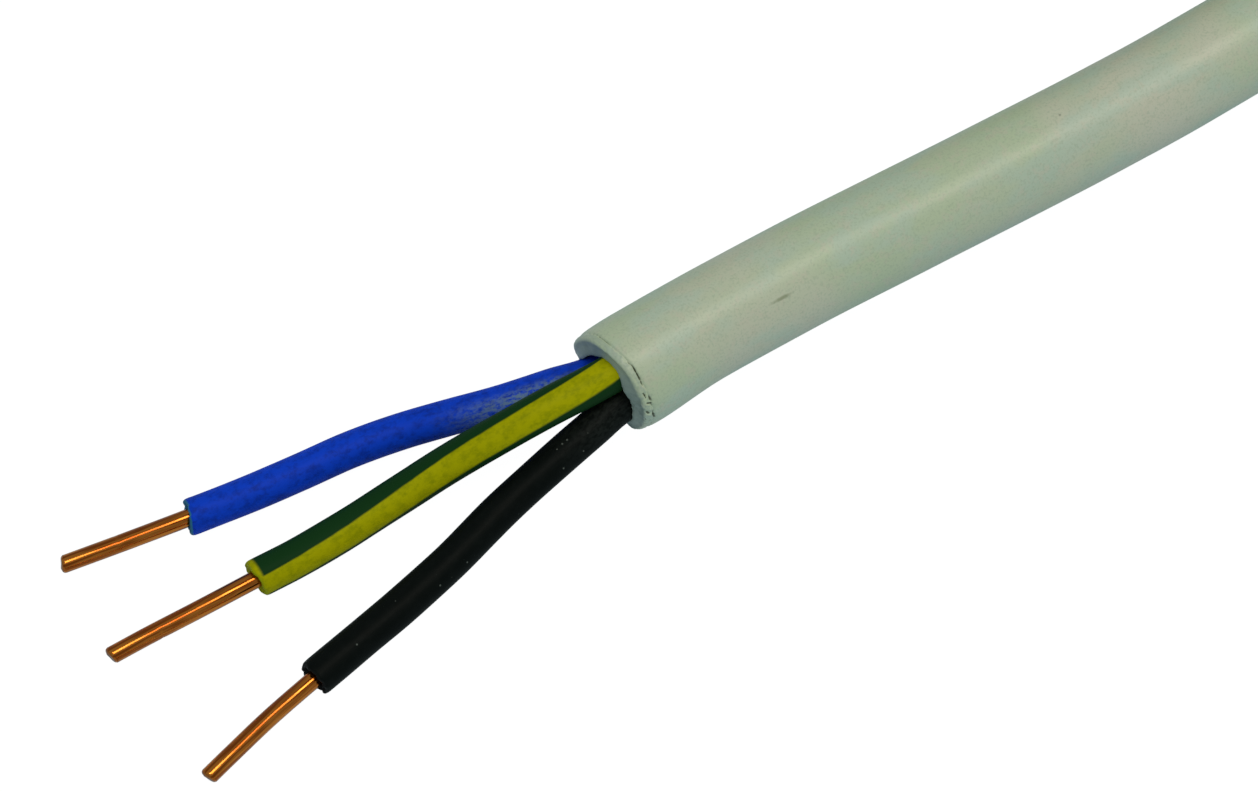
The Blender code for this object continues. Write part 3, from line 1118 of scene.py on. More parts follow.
    def core_reach(self, angle: float) -> float:
        """Return how far out the cores reach in a direction, or 0 where a gap lies between them."""
        reach = 0.0
        for across, above in self.bundle:
            nearest = across * math.cos(angle) + above * math.sin(angle)
            aside = across * math.sin(angle) - above * math.cos(angle)
            half_chord = self.core_radius**2 - aside**2
            if half_chord > 0.0:
                reach = max(reach, nearest + math.sqrt(half_chord))
        return reach

    def lip_radius(self, angle: float) -> float:
        """Return the radius of the lip's inner edge, which lies against the cores."""
        least, most = self.lip
        reached = [self.core_reach(angle + turn) + self.core_gap for turn in self.blur]
        return sum(min(max(reach, least), most) for reach in reached) / len(reached)

    def shape(self, ring: Ring, angle: float) -> Skin:
        """Return a vertex's place in the slanted, torn cut and the mouth's flare.

        Args:
            ring: The vertex's ring.
            angle: Its angle round the ring, in radians.

        Returns:
            The vertex's radius, place along the line and cut value.
        """
        around = Vector((math.cos(angle), math.sin(angle), 0.0))
        radius, cut = ring.radius, ring.cut
        if ring.part is not None:
            narrowed = 1.0 if ring.cut else ring.cone
            inner = self.bore + (self.lip_radius(angle) - self.bore) * narrowed
            radius = inner + (self.face_outer - inner) * ring.part
        lean, ahead_side = self.slant
        shift = -self.overhang - lean * math.cos(angle - math.radians(ahead_side))
        shift += sum(move * near_angle(angle, at, wide) for at, wide, move in self.bumps)
        cone = self.cone + sum(move * near_angle(angle, at, wide) for at, wide, move in self.cones)
        shift -= cone * ring.cone
        torn = self.ragged * (0.4 + near_angle(angle, *self.torn_side))
        shift += torn * noise.noise(around * 6.0 + Vector((0.0, 0.0, radius / MM)))
        shift += 0.35 * torn * noise.noise(around * 17.0 + Vector((3.0, 0.0, radius / (0.4 * MM))))
        along = ring.along + shift * ring.follow
        if radius > self.skin and ring.follow:
            rough = noise.noise(around * 15.0 + Vector((0.0, 5.0, along / (0.25 * MM))))
            worn = 1.0 - smoothstep((ring.along / MM - 0.5) / 0.5)
            radius += torn * rough * ring.follow * worn
            degrees = (math.degrees(angle) + 150.0) % 360.0 - 150.0
            depth = sum(crack.dent(degrees, along, radius) for crack in self.cracks)
            depth *= 0.8 + 0.9 * noise.noise(around * 34.0)
            radius -= depth
            # Painted shade: cracks and the torn edge's hollows get cut values below 0, which the
            # sheath's material paints dark.
            hollow = worn * torn / self.worn_full * max(-rough, 0.0)
            cut -= self.crack_shade_tone * min(depth / self.crack_full, 1.0) + self.hollow_shade_tone * hollow
        return Skin(radius, along, cut)

    def rings(self) -> list[Ring]:
        """Return the rings from the bottom of the bore, round the cut edge and onto the outside."""
        rings = [Ring(along * MM, 0.0, 0.0, hug, hug, 0.0) for along, hug in self.bore_rings]
        for part, along, cone in self.face_rings:
            # The cut face's painted shade fades out towards its outer corner.
            pale = 0.7 * smoothstep((part - 0.72) / 0.22)
            rings.append(Ring(along * MM, 0.0, 1.0 - pale, 1.0, cone, part))
        for along, radius in self.band:
            # The torn band just behind the corner takes part of the cut face's painted shade.
            edge = 0.45 * (1.0 - smoothstep((along - 0.48) / 0.10))
            # Painted shade in the crease behind the torn band.
            edge -= self.groove_shade * math.exp(-(((along - 0.595) / 0.035) ** 2))
            follow = 1.0 - smoothstep((along - 0.8) / 2.4)
            rings.append(Ring(along * MM, radius * MM, edge, follow))
        return rings


@dataclass
class Sheath:
    """The grey sheath with its cut mouth, its free stretch, its wound turns and its far end.

    Attributes:
        plan: Where the cable runs.
        mouth: The cut mouth.
        mouth_sides: How many sides the mouth has.
        free_sides: How many sides the free stretch has.
        coil_sides: How many sides the turns have.
        end_sides: How many sides the far end has.
        free_step: How far apart the rings of the free stretch are.
        coil_step: How far apart the rings of the turns are.
        end_step: How far apart the rings of the far end are.
        free_past: How far past the join the free stretch's rings run on.
        end_run: How long the far end is.
        uneven: How uneven the skin is.
        end_wall: How thick the sheath is at its far end.
    """

    plan: CablePlan
    mouth: Mouth
    mouth_sides: int = 360
    free_sides: int = 72
    coil_sides: int = 24
    end_sides: int = 48
    free_step: float = 1.0 * MM
    coil_step: float = 4.6 * MM
    end_step: float = 1.5 * MM
    free_past: float = 12.0 * MM
    end_run: float = 14.0 * MM
    uneven: float = 0.028 * MM
    end_wall: float = 1.0 * MM

    def shape(self, ring: Ring, angle: float) -> Skin:
        """Return a vertex's place in the sheath.

        Args:
            ring: The vertex's ring.
            angle: Its angle round the ring, in radians.

        Returns:
            The vertex's radius, place along the line and cut value.
        """
        if ring.part is not None or ring.along <= self.mouth.reach:
            return self.mouth.shape(ring, angle)
        around = Vector((math.cos(angle), math.sin(angle), 0.0))
        drift = around * 1.3 + Vector((0.0, 0.0, ring.along / (9.0 * MM)))
        settled = smoothstep((ring.along - self.mouth.reach) / (5.0 * MM))
        return Skin(ring.radius + self.uneven * noise.noise(drift) * settled, ring.along, ring.cut)

    def zones(self) -> list[Zone]:
        """Return the zones of the whole sheath."""
        length = self.plan.line.length
        radius = self.plan.diameter / 2

        def plain(start: float, stop: float, step: float) -> list[Ring]:
            """Return evenly spaced rings of the sheath's own radius."""
            return [Ring(along, radius) for along in spaced(start, stop, step)]

        joined = self.plan.free_length + self.free_past
        near_end = length - self.end_run
        free = plain(self.mouth.reach + 0.5 * MM, joined, self.free_step)
        coil = plain(joined + 2.0 * MM, near_end, self.coil_step)
        end = plain(near_end + self.end_step, length - 0.5 * MM, self.end_step)
        wall = radius - self.end_wall
        # The far end's cut face gets the same painted shade as the mouth's.
        end += [
            Ring(length - 0.16 * MM, radius),
            Ring(length - 0.05 * MM, radius - 0.05 * MM, 0.5),
            Ring(length, radius - 0.16 * MM, 1.0),
            Ring(length, wall + 0.08 * MM, 1.0),
            Ring(length - 0.08 * MM, wall, 1.0),
            Ring(length - 1.5 * MM, wall),
            Ring(length - 4.0 * MM, wall),
        ]
        return [
            Zone(self.mouth_sides, self.mouth.rings()),
            Zone(self.free_sides, free),
            Zone(self.coil_sides, coil),
            Zone(self.end_sides, end),
        ]

    def build(self, material: bpy.types.Material) -> bpy.types.Object:
        """Model the sheath and let it stand for the CAD coil and free stretch.

        Args:
            material: The sheath's finish.

        Returns:
            The sheath.
        """
        piece = Sweep(self.plan.line, self.shape).add(self.zones()).finish("cable_sheath", 75.0)
        dress(piece, material)
        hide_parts("coil", "sheath")
        return piece


@dataclass(frozen=True)
class CutEnd:
    """How a core's insulation was cut off its wire.

    Attributes:
        tilt: How far the cut leans along the core.
        lean: The side that is left longest, in degrees.
        hollow: How far the face falls in towards the wire.
        ragged: How uneven the edge is.
        seed: Picks the pattern of the unevenness.
    """

    tilt: float
    lean: float
    hollow: float
    ragged: float
    seed: float


@dataclass
class CoreWire:
    """One core: its insulation from inside the mouth to the cut, and its bare wire.

    Attributes:
        core: Which core it is.
        plan: Where the cable runs.
        route: The points of its line, seen from the cable's join.
        diameter: The insulation's diameter.
        bare: How long the bare wire is.
        end: How the insulation was cut.
        nick: How far from the wire's tip a nick lies and on which side in degrees, or zeros.
        nick_depth: How deep the nick is.
        nick_reach: How far it reaches along the wire.
        wire_diameter: The wire's diameter.
        wire_gap: How far the insulation's hole stands off the wire.
        socket: How far the wire runs into the insulation.
        sides: How many sides the insulation has.
        wire_sides: How many sides the wire has.
        step: How far apart the insulation's rings are.
        wire_step: How far apart the wire's rings are.
        path_step: How far apart the points are that declare looks up along the core's line.
        uneven: How uneven the insulation's skin is.
        tip_tilt: How far the wire's cut tip leans.
        line: The core's line.
        insulation_end: How far along the line the insulation ends.
    """

    core: Core
    plan: CablePlan
    route: tuple[Triple, ...]
    diameter: float
    bare: float
    end: CutEnd
    nick: tuple[float, float] = (0.0, 0.0)
    nick_depth: float = 0.07 * MM
    nick_reach: float = 0.14 * MM
    wire_diameter: float = 1.38 * MM
    wire_gap: float = 0.04 * MM
    socket: float = 3.0 * MM
    sides: int = 64
    wire_sides: int = 40
    step: float = 0.45 * MM
    wire_step: float = 0.2 * MM
    path_step: float = 0.8 * MM
    uneven: float = 0.035 * MM
    tip_tilt: float = 0.10 * MM
    line: Line = field(init=False)
    insulation_end: float = field(init=False)

    def __post_init__(self) -> None:
        """Work out the core's line and where its insulation ends."""
        knots = [self.plan.join + Vector(point) for point in self.route]
        self.line = Line(smooth_curve(knots))
        self.insulation_end = self.line.length - self.bare

    def shape(self, ring: Ring, angle: float) -> Skin:
        """Return a vertex's place in the uneven skin and the rough cut.

        Args:
            ring: The vertex's ring.
            angle: Its angle round the ring, in radians.

        Returns:
            The vertex's radius, place along the line and cut value.
        """
        around = Vector((math.cos(angle), math.sin(angle), self.end.seed))
        radius, along = ring.radius, ring.along
        if ring.follow < 1.0:
            drift = around * 0.9 + Vector((0.0, 0.0, along / (4.5 * MM)))
            radius += self.uneven * noise.noise(drift)
        fine = around * 7.0 + Vector((0.0, 0.0, radius / (0.2 * MM)))
        shift = self.end.tilt * math.cos(angle - math.radians(self.end.lean))
        shift += self.end.ragged * noise.noise(around * 2.6)
        shift += 0.4 * self.end.ragged * noise.noise(fine)
        along += shift * ring.follow - self.end.hollow * ring.cone
        return Skin(radius, along, ring.cut)

    def insulation_zone(self) -> Zone:
        """Return the rings of the insulation, with its cut face and the hole for the wire."""
        end, radius = self.insulation_end, self.diameter / 2
        hole = self.wire_diameter / 2 + self.wire_gap
        rings = [Ring(0.0, radius)]
        for along in spaced(self.step, end - 0.7 * MM, self.step):
            follow = smoothstep(1.0 - (end - along) / (3.0 * MM)) * 0.8
            rings.append(Ring(along, radius, 0.0, follow))
        corner = ((0.45, 0.0), (0.28, 0.01), (0.16, 0.04), (0.07, 0.10), (0.02, 0.18), (0.0, 0.27))
        for back, inset in corner:
            inner = radius - inset * MM
            rings.append(Ring(end - back * MM, inner, float(back < 0.1), 1.0))
        for part in (0.25, 0.5, 0.75, 1.0):
            rings.append(Ring(end, inner + (hole - inner) * part, 1.0, 1.0, part))
        rings.append(Ring(end - 0.3 * MM, hole, 1.0, 0.6, 0.8))
        rings.append(Ring(end - self.socket - 0.3 * MM, hole))
        return Zone(self.sides, rings)

    def wire_shape(self, ring: Ring, angle: float) -> Skin:
        """Return a vertex's place in the wire, with its nick near the tip.

        Args:
            ring: The vertex's ring.
            angle: Its angle round the ring, in radians.

        Returns:
            The vertex's radius, place along the line and cut value.
        """
        place, degrees = self.nick
        radius = ring.radius
        if place:
            away = (self.line.length - place - ring.along) / self.nick_reach
            radius -= self.nick_depth * math.exp(-away * away) * near_angle(angle, degrees, 60.0)
        tipped = self.tip_tilt * ring.follow * math.cos(angle - math.radians(self.end.lean))
        return Skin(radius, ring.along + tipped, ring.cut)

    def wire_zone(self) -> Zone:
        """Return the rings of the wire, from inside its socket to its blunt tip."""
        tip, radius = self.line.length, self.wire_diameter / 2
        start = self.insulation_end - self.socket
        rings = [Ring(along, radius) for along in spaced(start, tip - 0.3 * MM, self.wire_step)]
        corner = ((0.27, 0.0), (0.19, 0.02), (0.12, 0.055), (0.06, 0.11), (0.02, 0.18), (0.0, 0.28))
        for back, inset in corner:
            rings.append(Ring(tip - back * MM, radius - inset * MM, float(inset > 0.1), 1.0))
        rings.append(Ring(tip + 0.03 * MM, radius * 0.35, 1.0, 1.0))
        return Zone(self.wire_sides, rings)

    def build(
        self, insulation: bpy.types.Material, copper: bpy.types.Material
    ) -> tuple[bpy.types.Object, bpy.types.Object]:
        """Args:
            insulation: The finish of the insulation.
            copper: The finish of the wire.

        Returns:
            The insulation and the wire.
        """
        name = self.core.value
        cover = Sweep(self.line, self.shape).add([self.insulation_zone()]).finish(f"{name}_core")
        dress(cover, insulation)
        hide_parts(f"{name}_insulation")
        wire = Sweep(self.line, self.wire_shape).add([self.wire_zone()]).finish(f"{name}_wire")
        dress(wire, copper)
        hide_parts(f"{name}_conductor")
        return cover, wire

    def declare(self, cover: bpy.types.Object, wire: bpy.types.Object) -> None:
        """Look up the cable's mouth and the points along the core's line, and do nothing with them.
        """
        self.plan.line.at(0.0)
        self.line.places(0.0, self.insulation_end, self.path_step)


CORE_ROUTES: dict[Core, tuple[Triple, ...]] = {
    Core.BLUE: (
        (-0.1132, -0.0990, 0.0036),
        (-0.1192, -0.1034, 0.0036),
        (-0.1233, -0.10467, 0.0031),
        (-0.1271, -0.10582, 0.0026),
        (-0.1310, -0.10676, 0.0021),
        (-0.1349, -0.10777, 0.0016),
        (-0.1387, -0.10931, 0.0015),
        (-0.1425, -0.11129, 0.0015),
        (-0.1463, -0.11321, 0.0015),
        (-0.1505, -0.11511, 0.0015),
        (-0.1556, -0.11735, 0.0015),
        (-0.1604, -0.1194, 0.0015),
    ),
    Core.GREEN_YELLOW: (
        (-0.1121, -0.1006, 0.0061),
        (-0.1182, -0.1050, 0.0061),
        (-0.1232, -0.10797, 0.0059),
        (-0.1270, -0.10982, 0.0049),
        (-0.1309, -0.11161, 0.0035),
        (-0.1347, -0.11373, 0.0023),
        (-0.1386, -0.11623, 0.0016),
        (-0.1422, -0.1186, 0.0015),
        (-0.1454, -0.12053, 0.0015),
        (-0.1497, -0.12316, 0.0015),
        (-0.1534, -0.12538, 0.0015),
        (-0.1563, -0.1272, 0.0015),
    ),
    Core.BLACK: (
        (-0.1114, -0.1015, 0.0032),
        (-0.1174, -0.1059, 0.0032),
        (-0.1201, -0.1083, 0.0028),
        (-0.1232, -0.1111, 0.0022),
        (-0.1270, -0.11475, 0.0016),
        (-0.1308, -0.11913, 0.0015),
        (-0.1345, -0.12298, 0.0015),
        (-0.1383, -0.12666, 0.0015),
        (-0.1411, -0.12938, 0.0015),
        (-0.1441, -0.1324, 0.0015),
        (-0.1468, -0.13538, 0.0015),
        (-0.1485, -0.1373, 0.0015),
    ),
}


@dataclass
class FarEnd:
    """The cable's other end, cut off square: the sections of its three cores in the sheath.

    Attributes:
        plan: Where the cable runs.
        core_diameter: The diameter of a core.
        wire_diameter: The diameter of a wire.
        ring_radius: How far the cores lie from the cable's middle.
        depth: How far they run back into the sheath.
        seat: How far back from the end the sheath's direction is taken.
        first_angle: Where the first core lies, in degrees.
    """

    plan: CablePlan
    core_diameter: float = 2.95 * MM
    wire_diameter: float = 1.38 * MM
    ring_radius: float = 1.76 * MM
    depth: float = 6.0 * MM
    seat: float = 0.5 * MM
    first_angle: float = 90.0

    def stub(self, name: str, angle: float, diameter: float, proud: float) -> bpy.types.Object:
        """Model a short round stub in the far end.

        Args:
            name: The piece's name.
            angle: Where it lies round the cable's middle, in degrees.
            diameter: Its diameter.
            proud: How far it stands out of the sheath.

        Returns:
            The stub.
        """
        line = self.plan.line
        aside = math.radians(angle)
        centre, side, up = line.axes(line.length - self.seat)
        forward = up.cross(side)
        centre += (side * math.cos(aside) + up * math.sin(aside)) * self.ring_radius
        stub_line = Line([centre + forward * (end + self.seat) for end in (-self.depth, proud)])
        radius, end = diameter / 2, stub_line.length
        rings = [Ring(0.0, radius), Ring(end - 1.0 * MM, radius), Ring(end - 0.12 * MM, radius)]
        rings += [Ring(end - 0.04 * MM, radius - 0.03 * MM, 0.6), Ring(end, radius - 0.1 * MM, 1.0)]
        return Sweep(stub_line).add([Zone(32, rings)]).finish(name)

    def build(
        self, finishes: dict[Core, bpy.types.Material], copper: bpy.types.Material
    ) -> list[bpy.types.Object]:
        """Model the sections of the three cores and their wires.

        Args:
            finishes: The finish of each core's insulation.
            copper: The finish of the wires.

        Returns:
            The stubs.
        """
        stubs = []
        for number, core in enumerate(Core):
            angle = self.first_angle + 120.0 * number
            cover = self.stub(f"far_{core.value}_core", angle, self.core_diameter, 0.03 * MM)
            stubs.append(dress(cover, finishes[core]))
            wire = self.stub(f"far_{core.value}_wire", angle, self.wire_diameter, 0.10 * MM)
            stubs.append(dress(wire, copper))
        return stubs


@dataclass
class CableTie:
    """A nylon cable tie pulled round the coil's section: its strap, head and cut tail.

    Attributes:
        plan: Where the cable runs.
        number: The number in its name.
        angle: Where it goes round the coil, in degrees.
        gap: How far the strap stays off the turns.
        thickness: The strap's thickness.
        width: The strap's width.
        rim: How wide the strap's raised edges are.
        slope: How wide the step beside them is.
        recess: How deep the strap is recessed between them.
        head_radial: The head's size outwards.
        head_width: The head's width.
        head_height: The head's height.
        head_bevel: The radius of the head's edges.
        slot_wall: How thick the head is round its slot.
        slot_depth: How deep the slot is.
        tail_length: How far the cut tail stands out of the head.
        tail_inset: How far inside the head's middle the tail comes out.
        pawl: The sides of the pawl.
        pawl_offset: How far outside the head's middle the pawl lies.
    """

    plan: CablePlan
    number: int
    angle: float
    gap: float = 0.3 * MM
    thickness: float = 1.2 * MM
    width: float = 4.8 * MM
    rim: float = 0.7 * MM
    slope: float = 0.12 * MM
    recess: float = 0.22 * MM
    head_radial: float = 5.0 * MM
    head_width: float = 7.6 * MM
    head_height: float = 8.0 * MM
    head_bevel: float = 0.6 * MM
    slot_wall: float = 0.75 * MM
    slot_depth: float = 2.4 * MM
    tail_length: float = 2.2 * MM
    tail_inset: float = 0.55 * MM
    pawl: Triple = (0.9 * MM, 2.2 * MM, 3.6 * MM)
    pawl_offset: float = 0.95 * MM

    def section_corners(self) -> list[Vector]:
        """Return the centres of the turns that the strap bends round, anticlockwise."""
        plan = self.plan
        inner = plan.outer - (plan.row_turns[0] - 1) * plan.pitch
        low = plan.lift + plan.diameter / 2
        shelf, top = low + 2 * plan.row_rise, low + 3 * plan.row_rise
        half = plan.pitch / 2
        return [
            Vector((inner, low, 0.0)),
            Vector((plan.outer, low, 0.0)),
            Vector((plan.outer, shelf, 0.0)),
            Vector((plan.outer - half, top, 0.0)),
            Vector((inner + half, top, 0.0)),
            Vector((inner, shelf, 0.0)),
        ]

    def strap_outline(self, reach: float) -> list[Vector]:
        """Return the strap's outline at a distance from the corner turns' centres.

        Args:
            reach: The distance.

        Returns:
            The points of the closed outline, anticlockwise.
        """
        corners = self.section_corners()
        points = []
        for index, centre in enumerate(corners):
            arriving = centre - corners[index - 1]
            leaving = corners[(index + 1) % len(corners)] - centre
            start = math.atan2(-arriving.x, arriving.y)
            span = (math.atan2(-leaving.x, leaving.y) - start) % (2 * math.pi)
            for part in spaced(0.0, 1.0, 1.0 / max(1, round(span / math.radians(7.0)))):
                angle = start + span * part
                points.append(centre + Vector((math.cos(angle), math.sin(angle), 0.0)) * reach)
        return points

    def add_strap(self, bm: bmesh.types.BMesh) -> None:
        """Add the closed strap: a band with its outer side recessed between two raised edges."""
        outline = self.strap_outline(self.plan.diameter / 2 + self.gap)
        verts = [bm.verts.new(point - Vector((0.0, 0.0, self.width / 2))) for point in outline]
        edges = [bm.edges.new(pair) for pair in zip(verts, verts[1:] + verts[:1])]
        made = bmesh.ops.extrude_edge_only(bm, edges=edges)["geom"]
        raised = [item for item in made if isinstance(item, bmesh.types.BMVert)]
        bmesh.ops.translate(bm, vec=(0.0, 0.0, self.width), verts=raised)
        band = list(bm.faces)
        bmesh.ops.recalc_face_normals(bm, faces=band)
        if band[0].normal.dot(band[0].calc_center_median() - self.middle()) < 0:
            bmesh.ops.reverse_faces(bm, faces=band)
        bmesh.ops.solidify(bm, geom=band, thickness=-self.thickness)
        outside = [face for face in bm.faces if self.faces_out(face)]
        bmesh.ops.inset_region(
            bm,
            faces=outside,
            thickness=self.rim,
            depth=0.0,
            use_boundary=True,
            use_even_offset=True,
        )
        outside = [face for face in outside if face.is_valid]
        bmesh.ops.inset_region(
            bm, faces=outside, thickness=self.slope, depth=-self.recess, use_boundary=True
        )

    def middle(self) -> Vector:
        """Return the middle of the coil's section, in the tie's flat layout."""
        corners = self.section_corners()
        return sum(corners, Vector()) / len(corners)

    def faces_out(self, face: bmesh.types.BMFace) -> bool:
        """Say whether a face is on the strap's outer side."""
        if abs(face.normal.z) > 0.5:
            return False
        return face.normal.dot(face.calc_center_median() - self.middle()) > 0

    def add_block(
        self, bm: bmesh.types.BMesh, size: Triple, place: Vector, bevel: float
    ) -> list[bmesh.types.BMFace]:
        """Add a box with rounded edges.

        Args:
            bm: The bmesh to add it to.
            size: Its sides.
            place: Its middle.
            bevel: The radius of its edges.

        Returns:
            The box's faces.
        """
        verts = bmesh.ops.create_cube(bm, size=1.0)["verts"]
        bmesh.ops.scale(bm, vec=size, verts=verts)
        bmesh.ops.translate(bm, vec=place, verts=verts)
        edges = list({edge for vert in verts for edge in vert.link_edges})
        made = bmesh.ops.bevel(
            bm, geom=edges, offset=bevel, segments=3, profile=0.5, affect="EDGES", material=-1
        )
        faces = {face for vert in made["verts"] for face in vert.link_faces}
        return list(faces)

    def add_head(self, bm: bmesh.types.BMesh) -> None:
        """Add the locking head with its slot, the step for the pawl and the cut tail in it."""
        plan = self.plan
        low = plan.lift + plan.diameter / 2
        middle = plan.outer + plan.diameter / 2 + self.gap + self.thickness / 2
        place = Vector((middle + self.head_radial / 2, low + plan.row_rise, 0.0))
        size = (self.head_radial, self.head_height, self.head_width)
        faces = self.add_block(bm, size, place, self.head_bevel)
        top = [face for face in faces if face.is_valid and face.normal.y > 0.99]
        top = [max(top, key=lambda face: face.calc_area())]
        for inset, depth in ((self.slot_wall, 0.0), (0.05 * MM, -self.slot_depth)):
            bmesh.ops.inset_region(bm, faces=top, thickness=inset, depth=depth, use_boundary=True)
        upper = place.y + self.head_height / 2
        tail = Vector((place.x - self.tail_inset, upper, 0.0))
        size = (self.thickness, 2 * self.tail_length, self.width)
        self.add_block(bm, size, tail, 0.18 * MM)
        pawl = Vector((place.x + self.pawl_offset, upper - self.pawl[1] / 2, 0.0))
        self.add_block(bm, self.pawl, pawl, 0.15 * MM)

    def build(self, material: bpy.types.Material) -> bpy.types.Object:
        """Model the tie, stand it up round the coil and let it stand for its CAD node.

        Args:
            material: The nylon finish.

        Returns:
            The tie.
        """
        bm = bmesh.new()
        self.add_strap(bm)
        self.add_head(bm)
        upright = Matrix.Rotation(math.pi / 2, 4, "X")
        stand = Matrix.Rotation(math.radians(self.angle), 4, "Z") @ upright
        bmesh.ops.transform(bm, matrix=Matrix.Translation(self.plan.centre) @ stand, verts=bm.verts)
        piece = finish_mesh(bm, f"nylon_tie_{self.number}", 35.0)
        dress(piece, material)
        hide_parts(f"cable_tie_{self.number}")
        return piece


@dataclass
class Studio:
    """The plain pale floor, the soft light and the camera.

    Attributes:
        mouth: Where the sheath's mouth is.
        camera_offset: Where the camera stands, seen from the mouth.
        camera_tilt: How far the camera is tilted up from straight down, in degrees.
        lens: The camera's focal length in millimetres.
        sensor: The width of its sensor in millimetres.
        floor_size: How wide the floor is.
        sky: The colour of the surroundings.
        sky_strength: How bright they are.
        floor_colour: The colour that the floor lends to the light under the cable.
        floor_glow: How bright the floor looks.
        floor_share: How much of its look is that glow.
        key_colour: The key light's colour.
        key_direction: Where the key light stands, seen from the view's middle.
        key_distance: How far away it is.
        key_size: Its length and its width.
        key_heading: Which way its length runs, in degrees.
        key_radiance: How bright its face is.
        view_centre: The middle of the view, on the floor.
    """

    mouth: Vector
    camera_offset: Vector = field(default_factory=lambda: Vector((1.16, -188.5, 324.18)) * MM)
    camera_tilt: float = 30.0
    lens: float = 138.97
    sensor: float = 36.0
    floor_size: float = 30.0
    sky: Triple = (0.80, 0.96, 1.0)
    sky_strength: float = 0.34
    floor_colour: Triple = (0.66, 0.78, 0.87)
    floor_glow: float = 1.12
    floor_share: float = 0.88
    key_colour: Triple = (1.0, 0.93, 0.79)
    key_direction: Vector = field(default_factory=lambda: Vector((0.31, -0.015, 0.951)))
    key_distance: float = 1.3
    key_size: tuple[float, float] = (1.6, 0.34)
    key_heading: float = 31.0
    key_radiance: float = 4.5
    view_centre: Vector = field(default_factory=lambda: Vector((-0.03, -0.10, 0.0)))

    def add_floor(self) -> None:
        """Add the floor, which reads white and lights the cable as pale paper does."""
        bm = bmesh.new()
        bmesh.ops.create_grid(bm, x_segments=1, y_segments=1, size=self.floor_size / 2)
        bmesh.ops.recalc_face_normals(bm, faces=bm.faces)
        floor = finish_mesh(bm, "floor", 30.0)
        graph = Graph("white_floor")
        tree = graph.tree
        graph.finish({"Base Color": self.floor_colour, "Roughness": 0.9, "Specular IOR Level": 0.1})
        light = {"Color": (1.0, 1.0, 1.0), "Strength": self.floor_glow}
        glow = graph.node("ShaderNodeEmission", light)
        seen = graph.node("ShaderNodeLightPath").outputs["Is Camera Ray"]
        share = graph.math("MULTIPLY", seen, self.floor_share)
        blend = graph.node(
            "ShaderNodeMixShader", {0: share, 1: graph.shader.outputs[0], 2: glow.outputs[0]}
        )
        tree.links.new(blend.outputs[0], tree.nodes["Material Output"].inputs["Surface"])
        floor.data.materials.append(graph.material)

    def add_sky(self) -> None:
        """Add the even pale surroundings."""
        world = bpy.data.worlds.new("studio")
        world.use_nodes = True
        background = world.node_tree.nodes["Background"]
        background.inputs["Color"].default_value = (*self.sky, 1.0)
        background.inputs["Strength"].default_value = self.sky_strength
        bpy.context.scene.world = world

    def add_key(self) -> None:
        """Add the long soft light overhead whose reflection runs along the cable."""
        light = bpy.data.lights.new("key", "AREA")
        light.shape = "RECTANGLE"
        light.size, light.size_y = self.key_size
        light.color = self.key_colour
        light.energy = self.key_radiance * math.pi * self.key_size[0] * self.key_size[1]
        lamp = bpy.data.objects.new("key", light)
        direction = self.key_direction.normalized()
        lamp.location = self.view_centre + direction * self.key_distance
        heading = math.radians(self.key_heading)
        across = Vector((math.cos(heading), math.sin(heading), 0.0))
        across = (across - direction * across.dot(direction)).normalized()
        turned = Matrix((across, direction.cross(across), direction)).transposed()
        lamp.rotation_euler = turned.to_euler()
        bpy.context.scene.collection.objects.link(lamp)

    def add_camera(self) -> None:
        """Add the camera at the photograph's angle."""
        camera = bpy.data.cameras.new("camera")
        camera.lens = self.lens
        camera.sensor_width = self.sensor
        camera.clip_start, camera.clip_end = 0.02, 60.0
        stand = bpy.data.objects.new("camera", camera)
        stand.location = self.mouth + self.camera_offset
        stand.rotation_euler = (math.radians(self.camera_tilt), 0.0, 0.0)
        bpy.context.scene.collection.objects.link(stand)
        bpy.context.scene.camera = stand

    def build(self) -> None:
        """Set up the whole studio."""
        self.add_floor()
        self.add_sky()
        self.add_key()
        self.add_camera()
        bpy.context.scene.view_settings.view_transform = "Standard"
        bpy.context.scene.view_settings.look = "None"


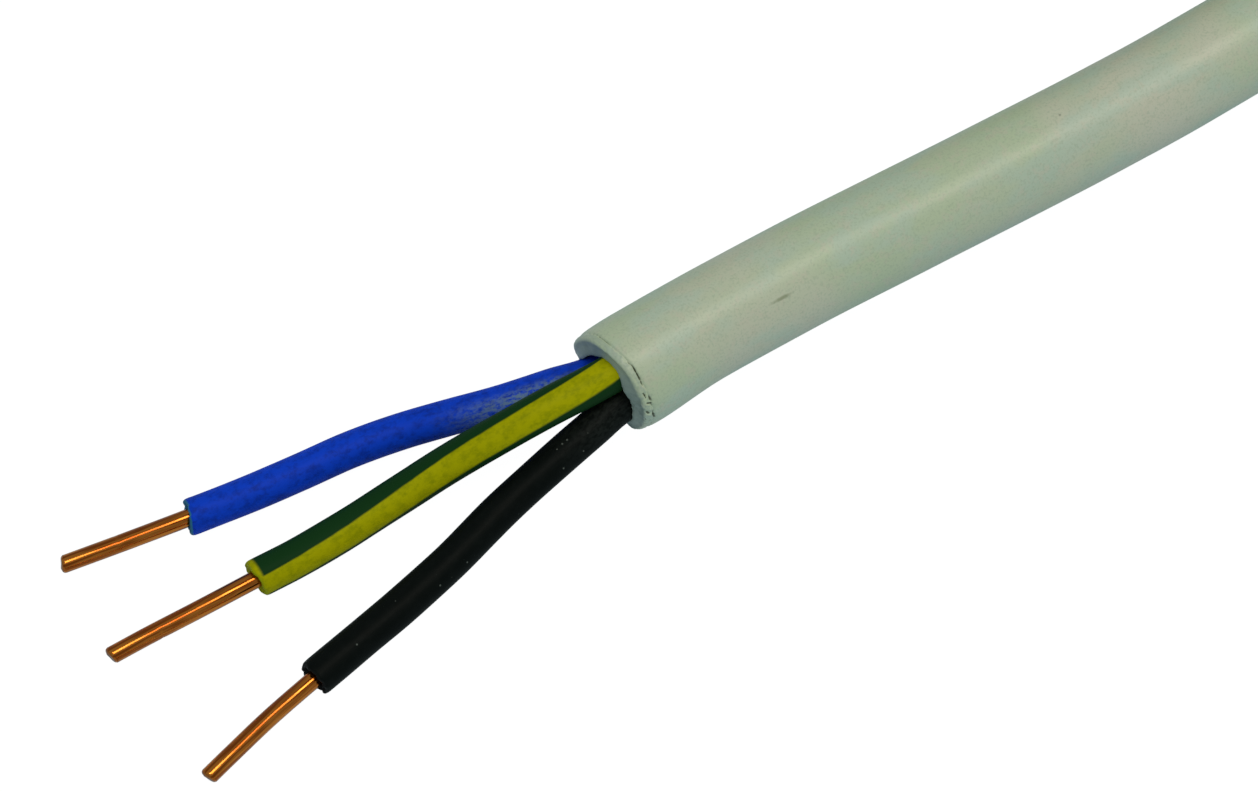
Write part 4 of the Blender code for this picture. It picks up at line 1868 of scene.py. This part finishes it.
def core_wires(plan: CablePlan) -> list[CoreWire]:
    """Return the three cores with their routes, bare lengths and cuts."""
    return [
        CoreWire(
            core=Core.BLUE,
            plan=plan,
            route=CORE_ROUTES[Core.BLUE],
            diameter=2.90 * MM,
            bare=10.3 * MM,
            end=CutEnd(0.20 * MM, 206.0, 0.10 * MM, 0.16 * MM, 3.0),
            nick=(4.6 * MM, 100.0),
        ),
        CoreWire(
            core=Core.GREEN_YELLOW,
            plan=plan,
            route=CORE_ROUTES[Core.GREEN_YELLOW],
            diameter=3.06 * MM,
            bare=12.55 * MM,
            end=CutEnd(0.15 * MM, 26.0, 0.12 * MM, 0.12 * MM, 11.0),
            nick=(4.3 * MM, 150.0),
        ),
        CoreWire(
            core=Core.BLACK,
            plan=plan,
            route=CORE_ROUTES[Core.BLACK],
            diameter=2.95 * MM,
            bare=11.2 * MM,
            end=CutEnd(0.05 * MM, 60.0, 0.34 * MM, 0.20 * MM, 23.0),
        ),
    ]


def insulation_finishes() -> dict[Core, bpy.types.Material]:
    """Return the material of each core's insulation."""
    blue = InsulationFinish(
        name="blue_insulation",
        colour=(0.0040, 0.060, 0.72),
        shade=(0.003, 0.034, 0.42),
        cut_face=(0.035, 0.20, 0.36),
        dust=Dust((0.20, 0.32, 0.38), 160.0, 17.0 * MM, 0.95),
        specular=0.08,
    )
    striped = StripedFinish(
        name="green_yellow_insulation",
        colour=(0.46, 0.44, 0.0003),
        shade=(0.32, 0.33, 0.0003),
        cut_face=(0.40, 0.42, 0.005),
        dust=Dust((0.4, 0.45, 0.3), 200.0, 3.0 * MM, 0.2),
        specular=0.04,
    )
    black = InsulationFinish(
        name="black_insulation",
        colour=(0.0034, 0.0050, 0.0044),
        shade=(0.0050, 0.0068, 0.0062),
        cut_face=(0.010, 0.011, 0.011),
        dust=Dust((0.05, 0.06, 0.055), 110.0, 12.0 * MM, 0.25),
        roughness=0.45,
        specular=0.045,
        lint=0.16,
    )
    return {Core.BLUE: blue.make(), Core.GREEN_YELLOW: striped.make(), Core.BLACK: black.make()}


def main() -> None:
    """Build the studio, then the cable from its sheath to its ties."""
    logging.basicConfig(level=logging.INFO, format="%(name)s %(message)s")
    plan = CablePlan()
    LOG.info("cable line: %.3f m, free stretch %.4f m", plan.line.length, plan.free_length)
    Studio(mouth=plan.line.at(0.0)).build()

    copper = CopperFinish().make()
    finishes = insulation_finishes()
    cores = core_wires(plan)
    mouth = Mouth(plan, [core.line for core in cores])
    sheath = Sheath(plan, mouth).build(SheathFinish().make())
    stubs = FarEnd(plan).build(finishes, copper)
    plan.line.at(0.0)
    plan.line.places(0.0, plan.line.length, PATH_STEP)
    for core in cores:
        core.declare(*core.build(finishes[core.core], copper))
    nylon = NylonFinish().make()
    for number, angle in enumerate(TIE_ANGLES, start=1):
        CableTie(plan, number, angle).build(nylon)


if __name__ == "__main__":
    main()
